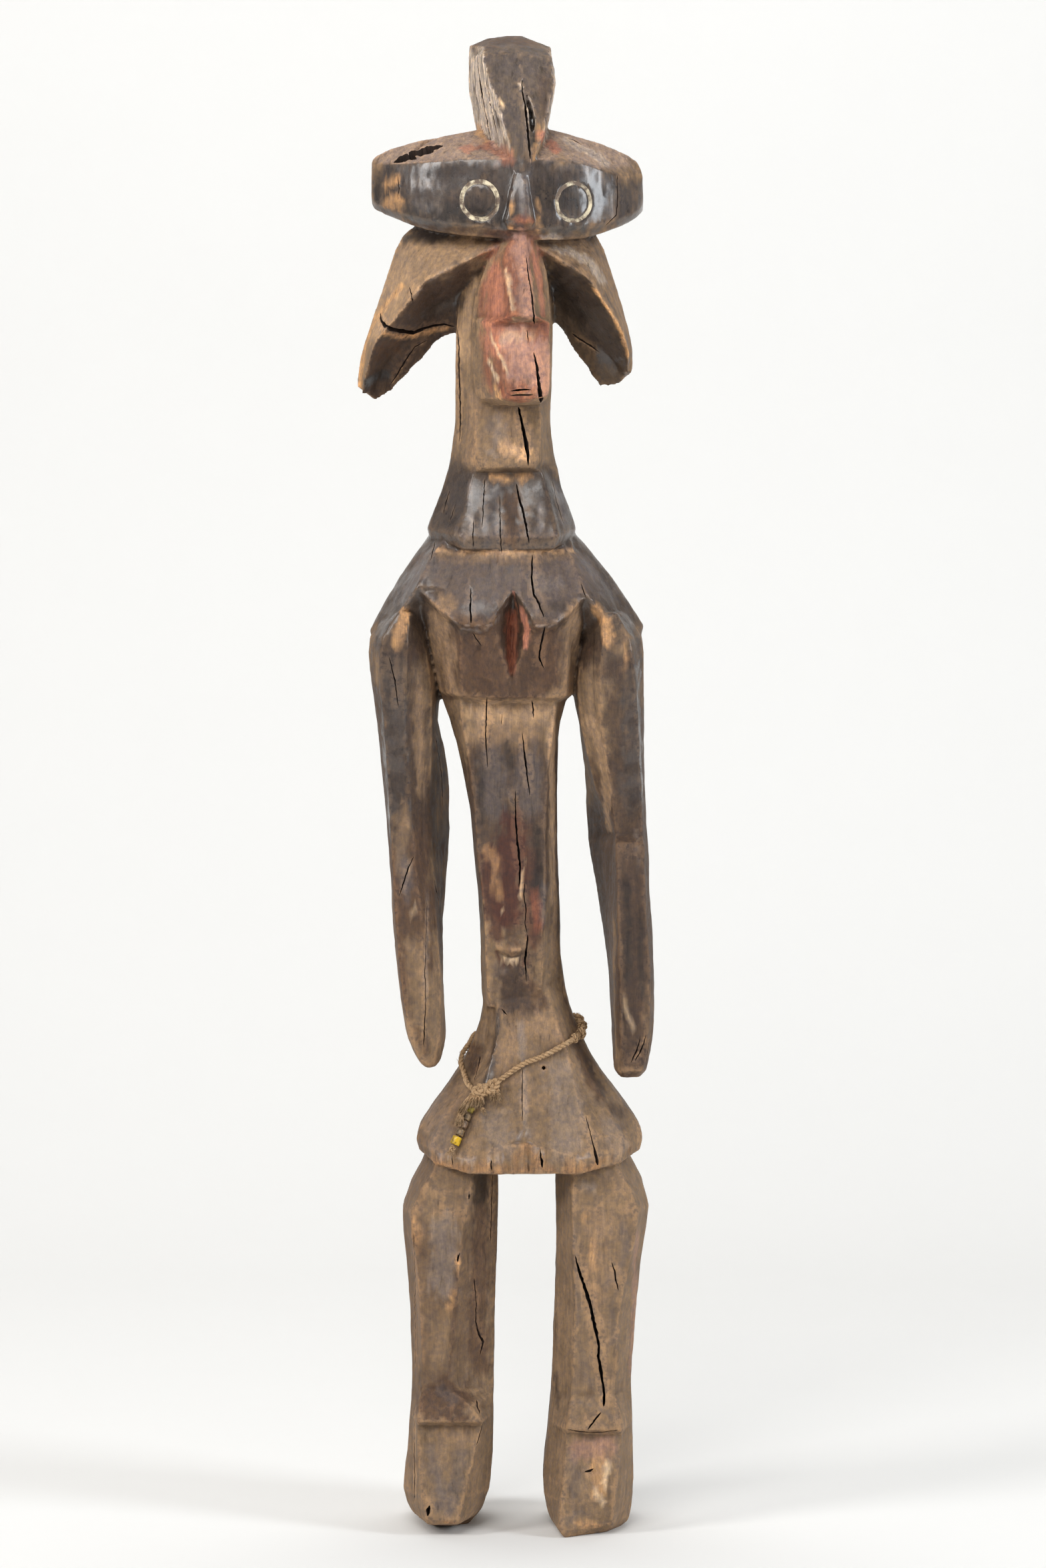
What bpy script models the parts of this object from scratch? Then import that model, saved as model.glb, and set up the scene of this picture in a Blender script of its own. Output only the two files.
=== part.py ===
"""A standing ancestor figure carved from one log, with a fibre cord and a bead string round its hips.

Metres, +Z up. The figure looks along -Y and the origin is on the ground under its middle.
Its pose and carving are thousandths of its own height. The cord and the beads have their own sizes.
"""

import math

import bmesh
import bpy
from mathutils import Matrix, Vector
from mathutils.bvhtree import BVHTree

HEIGHT = 1.000
CORD_DIAMETER = 0.0036
STRING_DIAMETER = 0.0012
BEAD_SIZES = ((0.0048, 0.0042), (0.0056, 0.0046), (0.0058, 0.0050), (0.0056, 0.0046), (0.0066, 0.0056))
BEAD_BORE = 0.0024
BEAD_SPACING = 0.0010
BARE_THREAD = 0.0040
KNOT_LENGTH = 0.0190
KNOT_WIDTH = 0.0110
KNOT_DEPTH = 0.0080
SLIT_DEPTH = 0.012
EYE_RING_DIAMETER = 0.0240
EYE_GROOVE_WIDTH = 0.0026
EYE_GROOVE_DEPTH = 0.0010
PEG_HOLE_DIAMETER = 0.0032
PEG_HOLE_DEPTH = 0.012
RIM_NOTCH = 0.0120
CLEARANCE = 0.0003

THOUSANDTH = HEIGHT / 1000
ROUND_SIDES = 16
EYE_SIDES = 24
CORD_SIDES_RESOLUTION = 2
SPLINE_STEPS = 2


# Building blocks

def clear_scene():
    for thing in list(bpy.data.objects):
        bpy.data.objects.remove(thing, do_unlink=True)


def material(name, colour, roughness):
    made = bpy.data.materials.new(name)
    made.use_nodes = True
    shader = made.node_tree.nodes["Principled BSDF"]
    shader.inputs["Base Color"].default_value = (*colour, 1.0)
    shader.inputs["Roughness"].default_value = roughness
    shader.inputs["Metallic"].default_value = 0.0
    return made


def object_from(name, mesh_builder, finish=None):
    """A new object that holds the finished bmesh."""
    mesh = bpy.data.meshes.new(name)
    mesh_builder.to_mesh(mesh)
    mesh_builder.free()
    made = bpy.data.objects.new(name, mesh)
    bpy.context.scene.collection.objects.link(made)
    if finish is not None:
        mesh.materials.append(finish)
    return made


def eased(rings, steps=SPLINE_STEPS):
    """The rings with more of them between, on a smooth curve through each corner."""
    if len(rings) < 3:
        return list(rings)
    made = []
    last = len(rings) - 1
    for i in range(last):
        before, after = rings[max(i - 1, 0)], rings[min(i + 2, last)]
        start, end = rings[i], rings[i + 1]
        for k in range(steps):
            t = k / steps
            made.append([catmull(a, b, c, d, t) for a, b, c, d in zip(before, start, end, after)])
    made.append(list(rings[-1]))
    return made


def catmull(a, b, c, d, t):
    bend, twist = 2 * a - 5 * b + 4 * c - d, 3 * (b - c) + d - a
    return 0.5 * (2 * b + (c - a) * t + bend * t ** 2 + twist * t ** 3)


def loft(name, *runs):
    """A closed solid through rings of corners given in thousandths.

    Each run of rings is smooth, and two runs meet at an arris.
    """
    rings = []
    for run in runs:
        rings += eased([[Vector(p) for p in ring] for ring in run])
    builder = bmesh.new()
    loops = []
    for ring in rings:
        verts = [builder.verts.new(p * THOUSANDTH) for p in ring]
        loops.append([builder.edges.new(pair) for pair in zip(verts, verts[1:] + verts[:1])])
    for lower, upper in zip(loops, loops[1:]):
        join_rings(builder, lower, upper)
    for loop in (loops[0], loops[-1]):
        cap(builder, loop)
    bmesh.ops.triangulate(builder, faces=builder.faces)
    bmesh.ops.recalc_face_normals(builder, faces=builder.faces)
    return object_from(name, builder)


def join_rings(builder, lower, upper):
    """Quads between two rings, corner to corner."""
    for a, b in zip(lower, upper):
        builder.faces.new((a.verts[0], a.verts[1], b.verts[1], b.verts[0]))


def cap(builder, loop):
    """A fan from the middle of a ring, which closes it even where it isn't flat."""
    corners = [edge.verts[0] for edge in loop]
    middle = builder.verts.new(sum((v.co for v in corners), Vector()) / len(corners))
    for i, corner in enumerate(corners):
        builder.faces.new((corner, corners[(i + 1) % len(corners)], middle))


def combine(target, tool, operation):
    """Joins the tool to the target or cuts it away, then removes the tool."""
    step = target.modifiers.new(operation.title(), "BOOLEAN")
    step.operation = operation
    step.object = tool
    bpy.context.view_layer.objects.active = target
    bpy.ops.object.modifier_apply(modifier=step.name)
    bpy.data.objects.remove(tool, do_unlink=True)


def surface_of(thing):
    return BVHTree.FromPolygons(
        [v.co for v in thing.data.vertices],
        [tuple(p.vertices) for p in thing.data.polygons],
    )


# Sections, in thousandths of the height

def level(z, xl, fl, fr, xr, front, shoulder, heel, back, keel=0.0, dip=0.0, lift=0.0, skew=0.0):
    """A ten-cornered level cut: a front face from fl to fr with a keel, two flanks and a back."""
    mid, inset = (fl + fr) / 2, 0.22 * (xr - xl)
    return [
        (fl, front, z - dip), (mid, front - keel + skew / 2, z - dip), (fr, front + skew, z - dip),
        (xr, shoulder, z), (xr, heel, z),
        (xr - inset, back, z + lift), ((xl + xr) / 2, back + keel, z + lift),
        (xl + inset, back, z + lift),
        (xl, heel, z), (xl, shoulder, z),
    ]


def arm_level(side, z, outer, face_out, face_in, turn, inner, front, back):
    """An arm's cut: a narrow front face, a facet that turns in and an inner side that leans in."""
    depth = back - front
    corners = [
        (outer, front + 0.24 * depth), (face_out, front), (face_in, front), (turn, front + 0.20 * depth),
        (inner, front + 0.66 * depth), (inner + 0.18 * (outer - inner), back),
        (outer - 0.22 * (outer - inner), back), (outer, front + 0.78 * depth),
    ]
    return [(side * x, y, z) for x, y in corners]


def visor_slice(x, front, back, rim_top, crown, rim_foot, foot):
    """An upright cut across the visor: sloping crown, front face, bevelled foot."""
    middle = (front + back) / 2
    return [
        (x, front, rim_top), (x, front - 1.5, (rim_top + rim_foot) / 2), (x, front, rim_foot),
        (x, front + 7, foot), (x, back - 6, foot + 5), (x, back, rim_foot + 6),
        (x, back, rim_top - 2), (x, middle + 8, crown), (x, middle - 12, crown - 1),
    ]


# The figure's limbs and body

def legs():
    """Both legs stand apart, each with a narrow front face, a knee that overhangs and a blunt foot."""
    left = loft(
        "left_leg",
        [
            level(268, -50, -42, -26, -12, -32, -14, 16, 38),
            level(244, -60, -51, -24, -9, -42, -16, 18, 43),
            level(217, -72, -66, -30, -8.6, -47, -17, 20, 46),
            level(182, -69.5, -62, -34, -9.5, -43, -17, 20, 41),
            level(148, -67.2, -60, -37, -10.8, -39, -17, 20, 37),
            level(110, -65.8, -58, -41, -11.3, -37, -16, 22, 41),
            level(97, -66, -59, -40, -11.4, -37, -16, 22, 43),
        ],
        [
            level(96, -66, -59, -40, -11.4, -38, -16, 22, 43),
            level(86, -66.6, -60.5, -26, -11.6, -45, -17, 22, 44),
            level(77, -67.3, -61.8, -18.5, -11.7, -48, -18, 22, 43),
        ],
        [
            level(73, -67.5, -61.5, -19.5, -11.8, -41, -18, 22, 42),
            level(50, -69.3, -60.5, -25, -12.3, -44, -18, 24, 43),
            level(26, -72, -58, -31, -14.5, -51, -17, 30, 47),
            level(12, -67.5, -56, -34.5, -19.5, -53, -15, 32, 49),
        ],
        [
            level(8.5, -65, -55, -35.5, -22, -51, -14, 32, 49),
            level(0, -56, -52, -37, -28, -13, -6, 30, 44),
        ],
    )
    right = loft(
        "right_leg",
        [
            level(268, 32, 42, 56, 70, -32, -14, 16, 38),
            level(244, 31, 42, 73, 83, -42, -16, 18, 43),
            level(218, 31, 41.5, 85, 92.5, -47, -17, 20, 46),
            level(182, 31.3, 42.6, 79, 88, -44, -17, 20, 41),
            level(148, 29.8, 43.3, 72.5, 84.8, -41, -17, 20, 37),
            level(112, 28.9, 42, 71, 81.8, -39, -16, 22, 41),
            level(93, 28, 41, 69, 81.6, -39, -16, 22, 43),
        ],
        [
            level(92, 28, 41, 70, 81.6, -40, -16, 22, 43),
            level(80, 27, 39.5, 73.5, 81.8, -46, -17, 22, 44),
            level(71.5, 26.2, 38.3, 74.5, 82, -48.5, -18, 22, 43),
        ],
        [
            level(67, 25.7, 38, 74, 82, -43, -18, 22, 42),
            level(46, 23.5, 36.4, 72.5, 82.4, -46, -18, 24, 43),
            level(23, 22.6, 34, 69.5, 82.6, -53, -17, 30, 47, skew=4),
            level(8, 26, 33, 68, 80, -57, -17, 32, 49, skew=12),
        ],
        [
            level(4, 28, 34, 67.5, 79, -57, -15, 32, 49, skew=17),
            level(0, 31, 36, 65, 75, -54, -14, 30, 44, skew=20),
        ],
    )
    return left, right


def hip_level(z, xl, fl, fr, xr, front, shoulder, heel, back, bulge, keel, dip):
    """A level cut of the hips: one more corner at each front quarter, pushed out by the bulge."""
    ring = level(z, xl, fl, fr, xr, front, shoulder, heel, back, keel=keel, dip=dip)
    right = ((fr + xr) / 2 + 0.75 * bulge, (front + shoulder) / 2 - 0.66 * bulge, z - 0.5 * dip)
    left = ((fl + xl) / 2 - 0.75 * bulge, (front + shoulder) / 2 - 0.66 * bulge, z - 0.5 * dip)
    return ring[:3] + [right] + ring[3:] + [left]


def hips():
    """A waist that flares into a wide skirt-like rim. The rim is cut higher where the front keel ends."""
    rim = hip_level(261.5, -63, -28, 48, 88.5, -55, -15, 20, 54, 9, 3, 8)
    rim[1] = (rim[1][0], rim[1][1], rim[1][2] + RIM_NOTCH / THOUSANDTH)
    flare = loft(
        "hips",
        [
            hip_level(372, -18, -12, 24, 35, -20, -6, 10, 20, 0, 0, 0),
            hip_level(351, -18.5, -11, 28, 40, -27, -8, 12, 26, 0, 2, 0),
            hip_level(329, -24, -11, 36, 49, -31, -10, 14, 31, 0, 3, 0),
            hip_level(306.6, -36, -15, 42, 61, -37, -12, 16, 38, 1, 3.5, 1),
            hip_level(284, -52, -22, 47, 78, -45, -14, 18, 46, 5, 4, 3),
            hip_level(270, -61, -26, 48, 87, -52, -15, 20, 52, 8, 4, 6),
            rim,
        ],
        [
            hip_level(255, -61, -28, 47, 87, -55, -15, 20, 54, 9, 3, 11),
            hip_level(253, -56, -24, 42, 82, -49, -12, 18, 48, 7, 3, 8),
            hip_level(257, -38, -16, 34, 64, -30, -8, 12, 30, 4, 0, 0),
        ],
    )
    left_axis = [
        (-28.4, -27.3, 356), (-29.1, -29, 332), (-33.6, -31.5, 315), (-44.6, -37.3, 300), (-54, -42, 288),
    ]
    right_axis = [(51, -34, 356), (57, -36, 335), (66, -40, 315), (78, -45, 298), (92, -50, 284)]
    for axis, radius in ((left_axis, 20), (right_axis, 24)):
        combine(flare, flute(axis, radius), "DIFFERENCE")
    return flare


def flute(axis, radius):
    """A round gouge cut's tool along an axis of given places."""
    turns = [math.tau * k / ROUND_SIDES for k in range(ROUND_SIDES)]
    circle = [(radius * math.cos(t), radius * math.sin(t)) for t in turns]
    return loft("flute", [[(x + a, y + b, z) for a, b in circle] for x, y, z in axis])


def torso():
    """A slender trunk with a flat front, widening to the chest, and a small lipped navel."""
    trunk = loft(
        "torso",
        [
            level(352, -18, -13, 22, 36, -24, -6, 10, 22),
            level(363, -19, -15, 21, 37, -26, -8, 12, 24),
            level(385.6, -19.6, -16.5, 21.5, 33.6, -31, -9, 13, 26),
            level(408, -20, -17, 22, 33.2, -33.5, -9, 13, 27),
            level(430.6, -22, -19, 23.3, 32.8, -33, -9, 13, 27),
            level(453, -24, -21.5, 23.3, 31.6, -31, -9, 13, 26),
            level(475.6, -25.8, -23, 23.3, 31.4, -29, -9, 13, 26),
            level(498, -29.2, -25, 24.5, 31.4, -28, -9, 13, 27),
            level(520.6, -34, -28, 26, 32, -28, -9, 14, 29),
            level(543, -40, -32, 29, 33.5, -29, -9, 15, 31),
            level(566, -48, -33, 31, 40, -30, -8, 16, 33),
            level(590, -50, -33, 31, 44, -30, -8, 16, 34),
        ],
    )
    lip = loft(
        "navel_lip",
        [
            [(-9, -31, 404), (1, -31, 406), (11, -31, 404), (9, -20, 404), (-7, -20, 404)],
            [(-9.5, -34.2, 393), (1, -37.5, 390), (11.5, -34.2, 393), (9, -20, 396), (-7, -20, 396)],
        ],
        [
            [(-8.5, -33, 391), (1, -34.5, 386.5), (10.5, -33, 391), (9, -20, 392), (-7, -20, 392)],
            [(-6, -25, 390), (1, -25, 386), (8, -25, 390), (7, -20, 391), (-5, -20, 391)],
        ],
    )
    combine(trunk, lip, "UNION")
    return trunk


def chest_ring(z, points, back, lift=0.0):
    """Front corners from left to right, closed behind by a plain rounded back."""
    left, right = points[0], points[-1]
    rear = [
        (right[0] - 1, 12, z), (right[0] * 0.80, back * 0.9, z + lift), (0, back, z + lift),
        (left[0] * 0.80, back * 0.9, z + lift), (left[0] + 1, 12, z),
    ]
    return [tuple(p) for p in points] + rear


def chest():
    """A slanted plane down to two scalloped breast edges, cut back under them, with a slit between."""
    count = 10
    bow = [18 * math.sin(math.pi * i / count) for i in range(count + 1)]
    collar_line = [(-46 + 8.7 * i, -22 - out, 664) for i, out in enumerate(bow)]
    breast_edge = [
        (-61, -42, 632), (-45, -51, 617), (-34, -56.5, 609.5),
        (-17, -58.5, 607.5), (-8, -57, 612), (2, -51, 627),
        (9, -57, 612), (17, -58.5, 607.5), (31, -56.5, 609), (40, -51, 617), (50, -42, 627),
    ]
    undercut = [(x * 0.97, y + 6.5, z - 5.5) for x, y, z in breast_edge]
    foot = [
        (-47, -14, 563), (-40, -28, 562), (-33, -38, 561),
        (-20, -39.5, 560), (-9, -40, 560), (2, -40, 560),
        (13, -40, 560), (22, -39.5, 560), (31, -39, 560), (37, -34, 561), (43, -14, 562),
    ]
    under = [(x * 0.9, y + 9, z - 4) for x, y, z in foot]
    body = loft(
        "chest",
        [chest_ring(664, collar_line, 32), chest_ring(618, breast_edge, 42, lift=8)],
        [chest_ring(612, undercut, 42, lift=8), chest_ring(562, foot, 36)],
        [chest_ring(558, under, 34)],
    )
    depth = SLIT_DEPTH / THOUSANDTH
    slit = loft(
        "chest_slit",
        [
            [(1, -64, 633), (3, -64, 633), (2, -48, 631)],
            [(-12, -68, 621), (16, -68, 621), (2, -50.5 + depth, 621)],
            [(-20, -68, 603), (23, -68, 603), (1.5, -43.5 + depth, 603)],
            [(-14, -66, 586), (16, -66, 586), (1.2, -42 + 0.85 * depth, 586)],
            [(0, -52, 568), (2, -52, 568), (1, -42 + 0.1 * depth, 570)],
        ],
    )
    combine(body, slit, "DIFFERENCE")
    return body


def yoke():
    """The sloping shoulders, from the collar out to a corner over each arm."""
    collar = [
        (-53, -6, 669), (-50, -13, 668), (-43, -27, 665), (33, -27, 665), (40, -13, 668), (43, -6, 669),
        (43, 8, 669), (40, 14, 669), (33, 28, 668), (-43, 28, 668), (-50, 14, 669), (-53, 8, 669),
    ]
    corners = [
        (-94, -13, 604), (-86, -35, 598), (-61.5, -44, 633),
        (50.5, -44, 628), (76, -36, 600), (89.3, -13, 607),
        (89.3, 15, 607), (78, 36, 606), (46, 42, 632), (-53, 42, 636), (-84, 36, 605), (-94, 15, 604),
    ]
    inner = [
        (-89, -11, 588), (-80, -30, 586), (-57, -17, 600), (47, -17, 596), (70, -30, 586), (84, -11, 588),
        (84, 12, 588), (72, 30, 586), (44, 30, 596), (-52, 30, 600), (-80, 30, 586), (-89, 12, 588),
    ]
    middle = [(Vector(p) + Vector(q)) / 2 + Vector((0, 0, 4)) for p, q in zip(collar, corners)]
    return loft("yoke", [collar, middle, corners], [inner])


def arms():
    """Two plank-like arms that lean back to the elbow and forward again to a rounded hand."""
    left = loft(
        "left_arm",
        [
            arm_level(-1, 616, 79.4, 74, 66, 60, 50, -40, 34),
            arm_level(-1, 600, 93.0, 84, 68, 58, 48, -43, 37),
            arm_level(-1, 579, 93.4, 86, 68.5, 54, 46, -43, 40),
            arm_level(-1, 560, 90.9, 85, 69.5, 52.8, 47, -41, 42),
            arm_level(-1, 543, 88.8, 83.5, 70.5, 52.5, 49, -38, 43),
            arm_level(-1, 520.6, 86.8, 82.3, 69, 53.3, 44, -34, 45),
            arm_level(-1, 498, 84.7, 81, 67.4, 53.9, 41.3, -30, 47),
            arm_level(-1, 475, 82.8, 79.8, 65.5, 53.2, 41.2, -27, 48),
            arm_level(-1, 453, 81.1, 78.6, 63.5, 52.5, 42.2, -29, 45),
            arm_level(-1, 430, 79.6, 77.6, 61, 51.2, 43.8, -33, 40),
            arm_level(-1, 408, 78.4, 76.5, 58.4, 49.4, 45.3, -36, 33),
            arm_level(-1, 374, 74.8, 72.8, 57.5, 47.0, 45.2, -39, 20),
            arm_level(-1, 340, 70.4, 68.2, 57.2, 46.5, 43.5, -38, 8),
            arm_level(-1, 325, 65.9, 64, 56.8, 48, 44.6, -36, 2),
            arm_level(-1, 315, 59.9, 58.8, 55.5, 50.5, 47.5, -32, -6),
            arm_level(-1, 311.5, 55.4, 55.5, 54, 52.5, 51, -27, -14),
        ],
    )
    right = loft(
        "right_arm",
        [
            arm_level(1, 616, 76, 70, 62, 56, 42, -40, 34),
            arm_level(1, 600, 87.8, 79, 62, 51, 41, -43, 37),
            arm_level(1, 579, 89, 82, 60, 46, 41, -43, 40),
            arm_level(1, 560, 89, 83.5, 60, 45.5, 42.5, -41, 42),
            arm_level(1, 543, 89.3, 85, 60.6, 47, 46, -38, 43),
            arm_level(1, 520.6, 89.6, 86, 64, 52, 49, -34, 45),
            arm_level(1, 498, 90.2, 87, 67.4, 57.5, 51, -30, 47),
            arm_level(1, 475, 91.4, 88, 69.6, 66, 52, -27, 48),
            arm_level(1, 468, 91.9, 88.3, 70.5, 68.5, 52.5, -26, 48),
        ],
        [
            arm_level(1, 462, 92.4, 88.8, 70.5, 68.5, 53, -33, 47),
            arm_level(1, 453, 92.7, 89, 70.7, 68.2, 54, -35, 45),
            arm_level(1, 430, 93.2, 90, 71.5, 68.5, 58, -37, 40),
            arm_level(1, 408, 94.7, 91, 72, 68.5, 61.8, -38, 33),
            arm_level(1, 385, 95.6, 92.5, 73, 69, 65, -39, 24),
            arm_level(1, 363, 96.5, 93, 73.5, 69.5, 67, -39, 15),
            arm_level(1, 340, 95.6, 92, 74, 70.5, 68, -38, 8),
            arm_level(1, 321, 93.5, 90.5, 74.5, 71, 68.7, -36, 1),
            arm_level(1, 310, 91, 88.3, 75, 71.6, 69.8, -34, -5),
        ],
        [arm_level(1, 305.5, 87, 85, 76, 74, 73, -29, -10)],
    )
    return left, right


def neck():
    """A column with a stepped throat, flaring to a collar whose lower edge dips in front."""
    return loft(
        "neck",
        [
            level(880, -30, -20, 18, 24.8, -20, -8, 14, 28),
            level(820, -35, -24, 20, 28.2, -27, -10, 14, 28),
            level(780, -36.4, -23, 20, 27.8, -28, -10, 14, 27),
            level(755, -36, -22.5, 20, 26.8, -30, -10, 14, 27),
            level(733, -37.7, -23, 20, 27.3, -34, -10, 15, 28),
            level(719, -39.8, -21, 18.5, 29.8, -38.5, -11, 16, 29, keel=1.5, dip=1),
            level(715, -40.6, -19, 16, 30.8, -38.5, -11, 16, 30, keel=1.5, dip=3),
        ],
        [
            level(712, -41.3, -24, 21, 31.8, -31, -11, 16, 30, dip=3),
            level(700, -45, -27, 24, 34.0, -33, -12, 17, 32, dip=2),
            level(688.6, -49, -29, 27, 38.5, -37, -13, 18, 35, dip=2),
            level(677.4, -53.6, -32, 30, 42.5, -42, -14, 20, 39, dip=4),
            level(672, -55.3, -33, 31.5, 44.0, -44.5, -15, 21, 41, dip=6),
        ],
        [
            level(666, -53.5, -31, 29.5, 42.3, -43.5, -14, 20, 40, dip=8),
            level(663, -48, -27, 25, 36.8, -36, -11, 16, 34, dip=7),
            level(650, -40, -22, 20, 30.8, -26, -8, 12, 26),
        ],
    )


def visor():
    """A wide boat-shaped band across the head, its face curving back to both ends."""
    return loft(
        "visor",
        [
            visor_slice(-92, -9, 12, 911, 915, 894, 889),
            visor_slice(-90, -14, 16, 914, 920, 889, 885),
            visor_slice(-76, -30, 24, 913, 926, 882, 877.5),
            visor_slice(-55, -44, 33, 913, 931, 875, 869),
            visor_slice(-34, -51.5, 38, 914, 935, 871.5, 865.5),
            visor_slice(-12, -54, 41, 914.5, 938, 869, 863),
            visor_slice(8, -54.5, 42, 914, 939, 868.5, 862),
            visor_slice(28, -53.5, 41, 913.5, 937.5, 868.5, 862),
            visor_slice(50, -46, 36, 911.5, 931.5, 870.5, 864),
            visor_slice(70, -33, 27, 905.5, 924.5, 876, 871),
            visor_slice(84.5, -17, 18, 905.5, 917, 883, 879),
            visor_slice(88.6, -9, 12, 902, 907, 888, 884),
        ],
    )


def brow_nose():
    """The small nose on the visor, a keel that widens to its foot."""
    return loft(
        "brow_nose",
        [
            [(5, -53, 916), (9.5, -53, 916), (11, -44, 918), (3, -44, 918)],
            [(2.5, -58, 900), (11, -58, 900), (14, -48, 900), (-0.5, -48, 900)],
            [(-0.5, -60.5, 882), (13, -60.5, 882), (17.5, -48, 882), (-4.5, -48, 882)],
            [(-2.5, -61, 873), (14.5, -61, 873), (19.5, -48, 873), (-6.5, -48, 873)],
        ],
        [[(-1, -56, 868), (13, -56, 868), (17, -48, 867), (-5, -48, 867)]],
    )


def crest():
    """A tall wedge on the head. Its front face tapers to a point on the visor."""
    return loft(
        "crest",
        [
            [
                (2, -56, 906), (8, -57.5, 906), (14, -56, 906), (20, -20, 906),
                (20, 38, 906), (-18, 38, 906), (-16, -20, 906),
            ],
            [
                (-1, -54, 926), (10, -56, 926), (20.5, -54, 926), (22.5, -15, 926),
                (21.5, 41, 926), (-20, 41, 926), (-20, -12, 926),
            ],
            [
                (-7.5, -51, 950), (10, -52.5, 950), (27, -49, 950), (26.8, -10, 950),
                (24, 43, 950), (-24, 43, 950), (-24, -8, 950),
            ],
            [
                (-14, -45, 967), (8, -46.5, 967), (29.2, -44, 967), (29.3, -6, 967),
                (25, 43, 967), (-27, 42, 967), (-27, -6, 967),
            ],
            [
                (-18, -38, 984), (6, -39, 985), (27, -37, 981), (28.2, -4, 979),
                (25, 41, 977), (-27, 40, 977), (-27.7, -6, 983),
            ],
        ],
        [
            [
                (-17, -32, 989.5), (4, -31, 991), (26, -30, 987), (26.5, -4, 992.5),
                (23, 32, 987), (-24.5, 30, 989), (-26.5, -6, 993),
            ],
            [
                (-10, -14, 997), (3, -14, 998.5), (15, -14, 996), (16, 0, 997.5),
                (14, 14, 996), (-14, 12, 997), (-15, -4, 998),
            ],
        ],
        [[
            (-3, -3, 1000), (3, -4, 1000), (8, -3, 1000), (8, 1, 1000),
            (6, 5, 1000), (-3, 4, 1000), (-4, 0, 1000),
        ]],
    )


def flap_ring(side, outer, ridge, inner, tail):
    """An ear flap's cut: a lit upper side, a hollow under side and a plain back."""
    hollow = tuple((a + b) / 2 for a, b in zip(ridge, inner))
    hollow = (hollow[0] + 3.0, hollow[1] + 5.5, hollow[2] + 5.0)
    crown = tuple((a + b) / 2 for a, b in zip(outer, ridge))
    crown = (crown[0] + 1.5, crown[1] - 1.0, crown[2] + 3.5)
    corners = [outer, crown, ridge, hollow, inner, tail]
    return [(side * x, y, z) for x, y, z in corners]


def ear_flaps():
    """Two drooping flaps under the visor, like a parted hood."""
    left = loft(
        "left_flap",
        [
            flap_ring(1, (-2, 5, 884), (4, -42, 863), (-12, 8, 806), (0, 32, 852)),
            flap_ring(1, (-26, 5, 884), (-16, -43, 854), (-30, 9, 803.5), (-22, 33, 846)),
            flap_ring(1, (-52, 5, 881), (-39, -42, 843), (-43, 10, 801), (-46, 32, 842)),
            flap_ring(1, (-71.5, 5, 869), (-55.6, -38, 835), (-51, 10, 796), (-62, 29, 832)),
            flap_ring(1, (-80.4, 4, 848), (-69, -33, 819), (-60.5, 10, 784.5), (-71, 25, 817)),
            flap_ring(1, (-87.5, 4, 827), (-79, -27, 807), (-70, 9, 775), (-79, 21, 803)),
            flap_ring(1, (-94.5, 3, 805), (-88.5, -21, 797), (-79, 8, 765), (-86.5, 17, 788)),
            flap_ring(1, (-100.5, 2, 785), (-94, -16, 783), (-86.5, 6, 760), (-93, 13, 774)),
            flap_ring(1, (-102.5, 1, 767), (-99, -9, 761), (-90, 4, 757.5), (-96, 8, 762)),
        ],
    )
    right = loft(
        "right_flap",
        [
            flap_ring(-1, (2, 5, 884), (0, -42, 863), (-14, 8, 812), (2, 32, 852)),
            flap_ring(-1, (-22, 5, 884), (-22, -43, 855), (-26, 9, 811), (-20, 33, 848)),
            flap_ring(-1, (-42, 5, 880), (-37, -42, 846), (-34.5, 10, 806), (-38, 32, 844)),
            flap_ring(-1, (-59, 5, 867), (-51, -38, 837.5), (-41, 10, 795), (-51, 29, 834)),
            flap_ring(-1, (-66, 4, 850), (-60, -33, 825), (-48.5, 10, 784.5), (-59, 25, 820)),
            flap_ring(-1, (-72.5, 4, 830), (-68, -27, 813), (-54.5, 9, 774.5), (-66, 21, 806)),
            flap_ring(-1, (-78.5, 3, 809.5), (-75, -21, 801), (-60, 8, 767.5), (-72, 17, 792)),
            flap_ring(-1, (-82.3, 2, 790), (-79.5, -16, 787), (-69, 6, 768), (-76.5, 13, 781)),
            flap_ring(-1, (-81.5, 1, 776), (-78.5, -11, 775), (-74, 4, 770.5), (-77.5, 9, 774)),
        ],
    )
    return left, right


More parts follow.
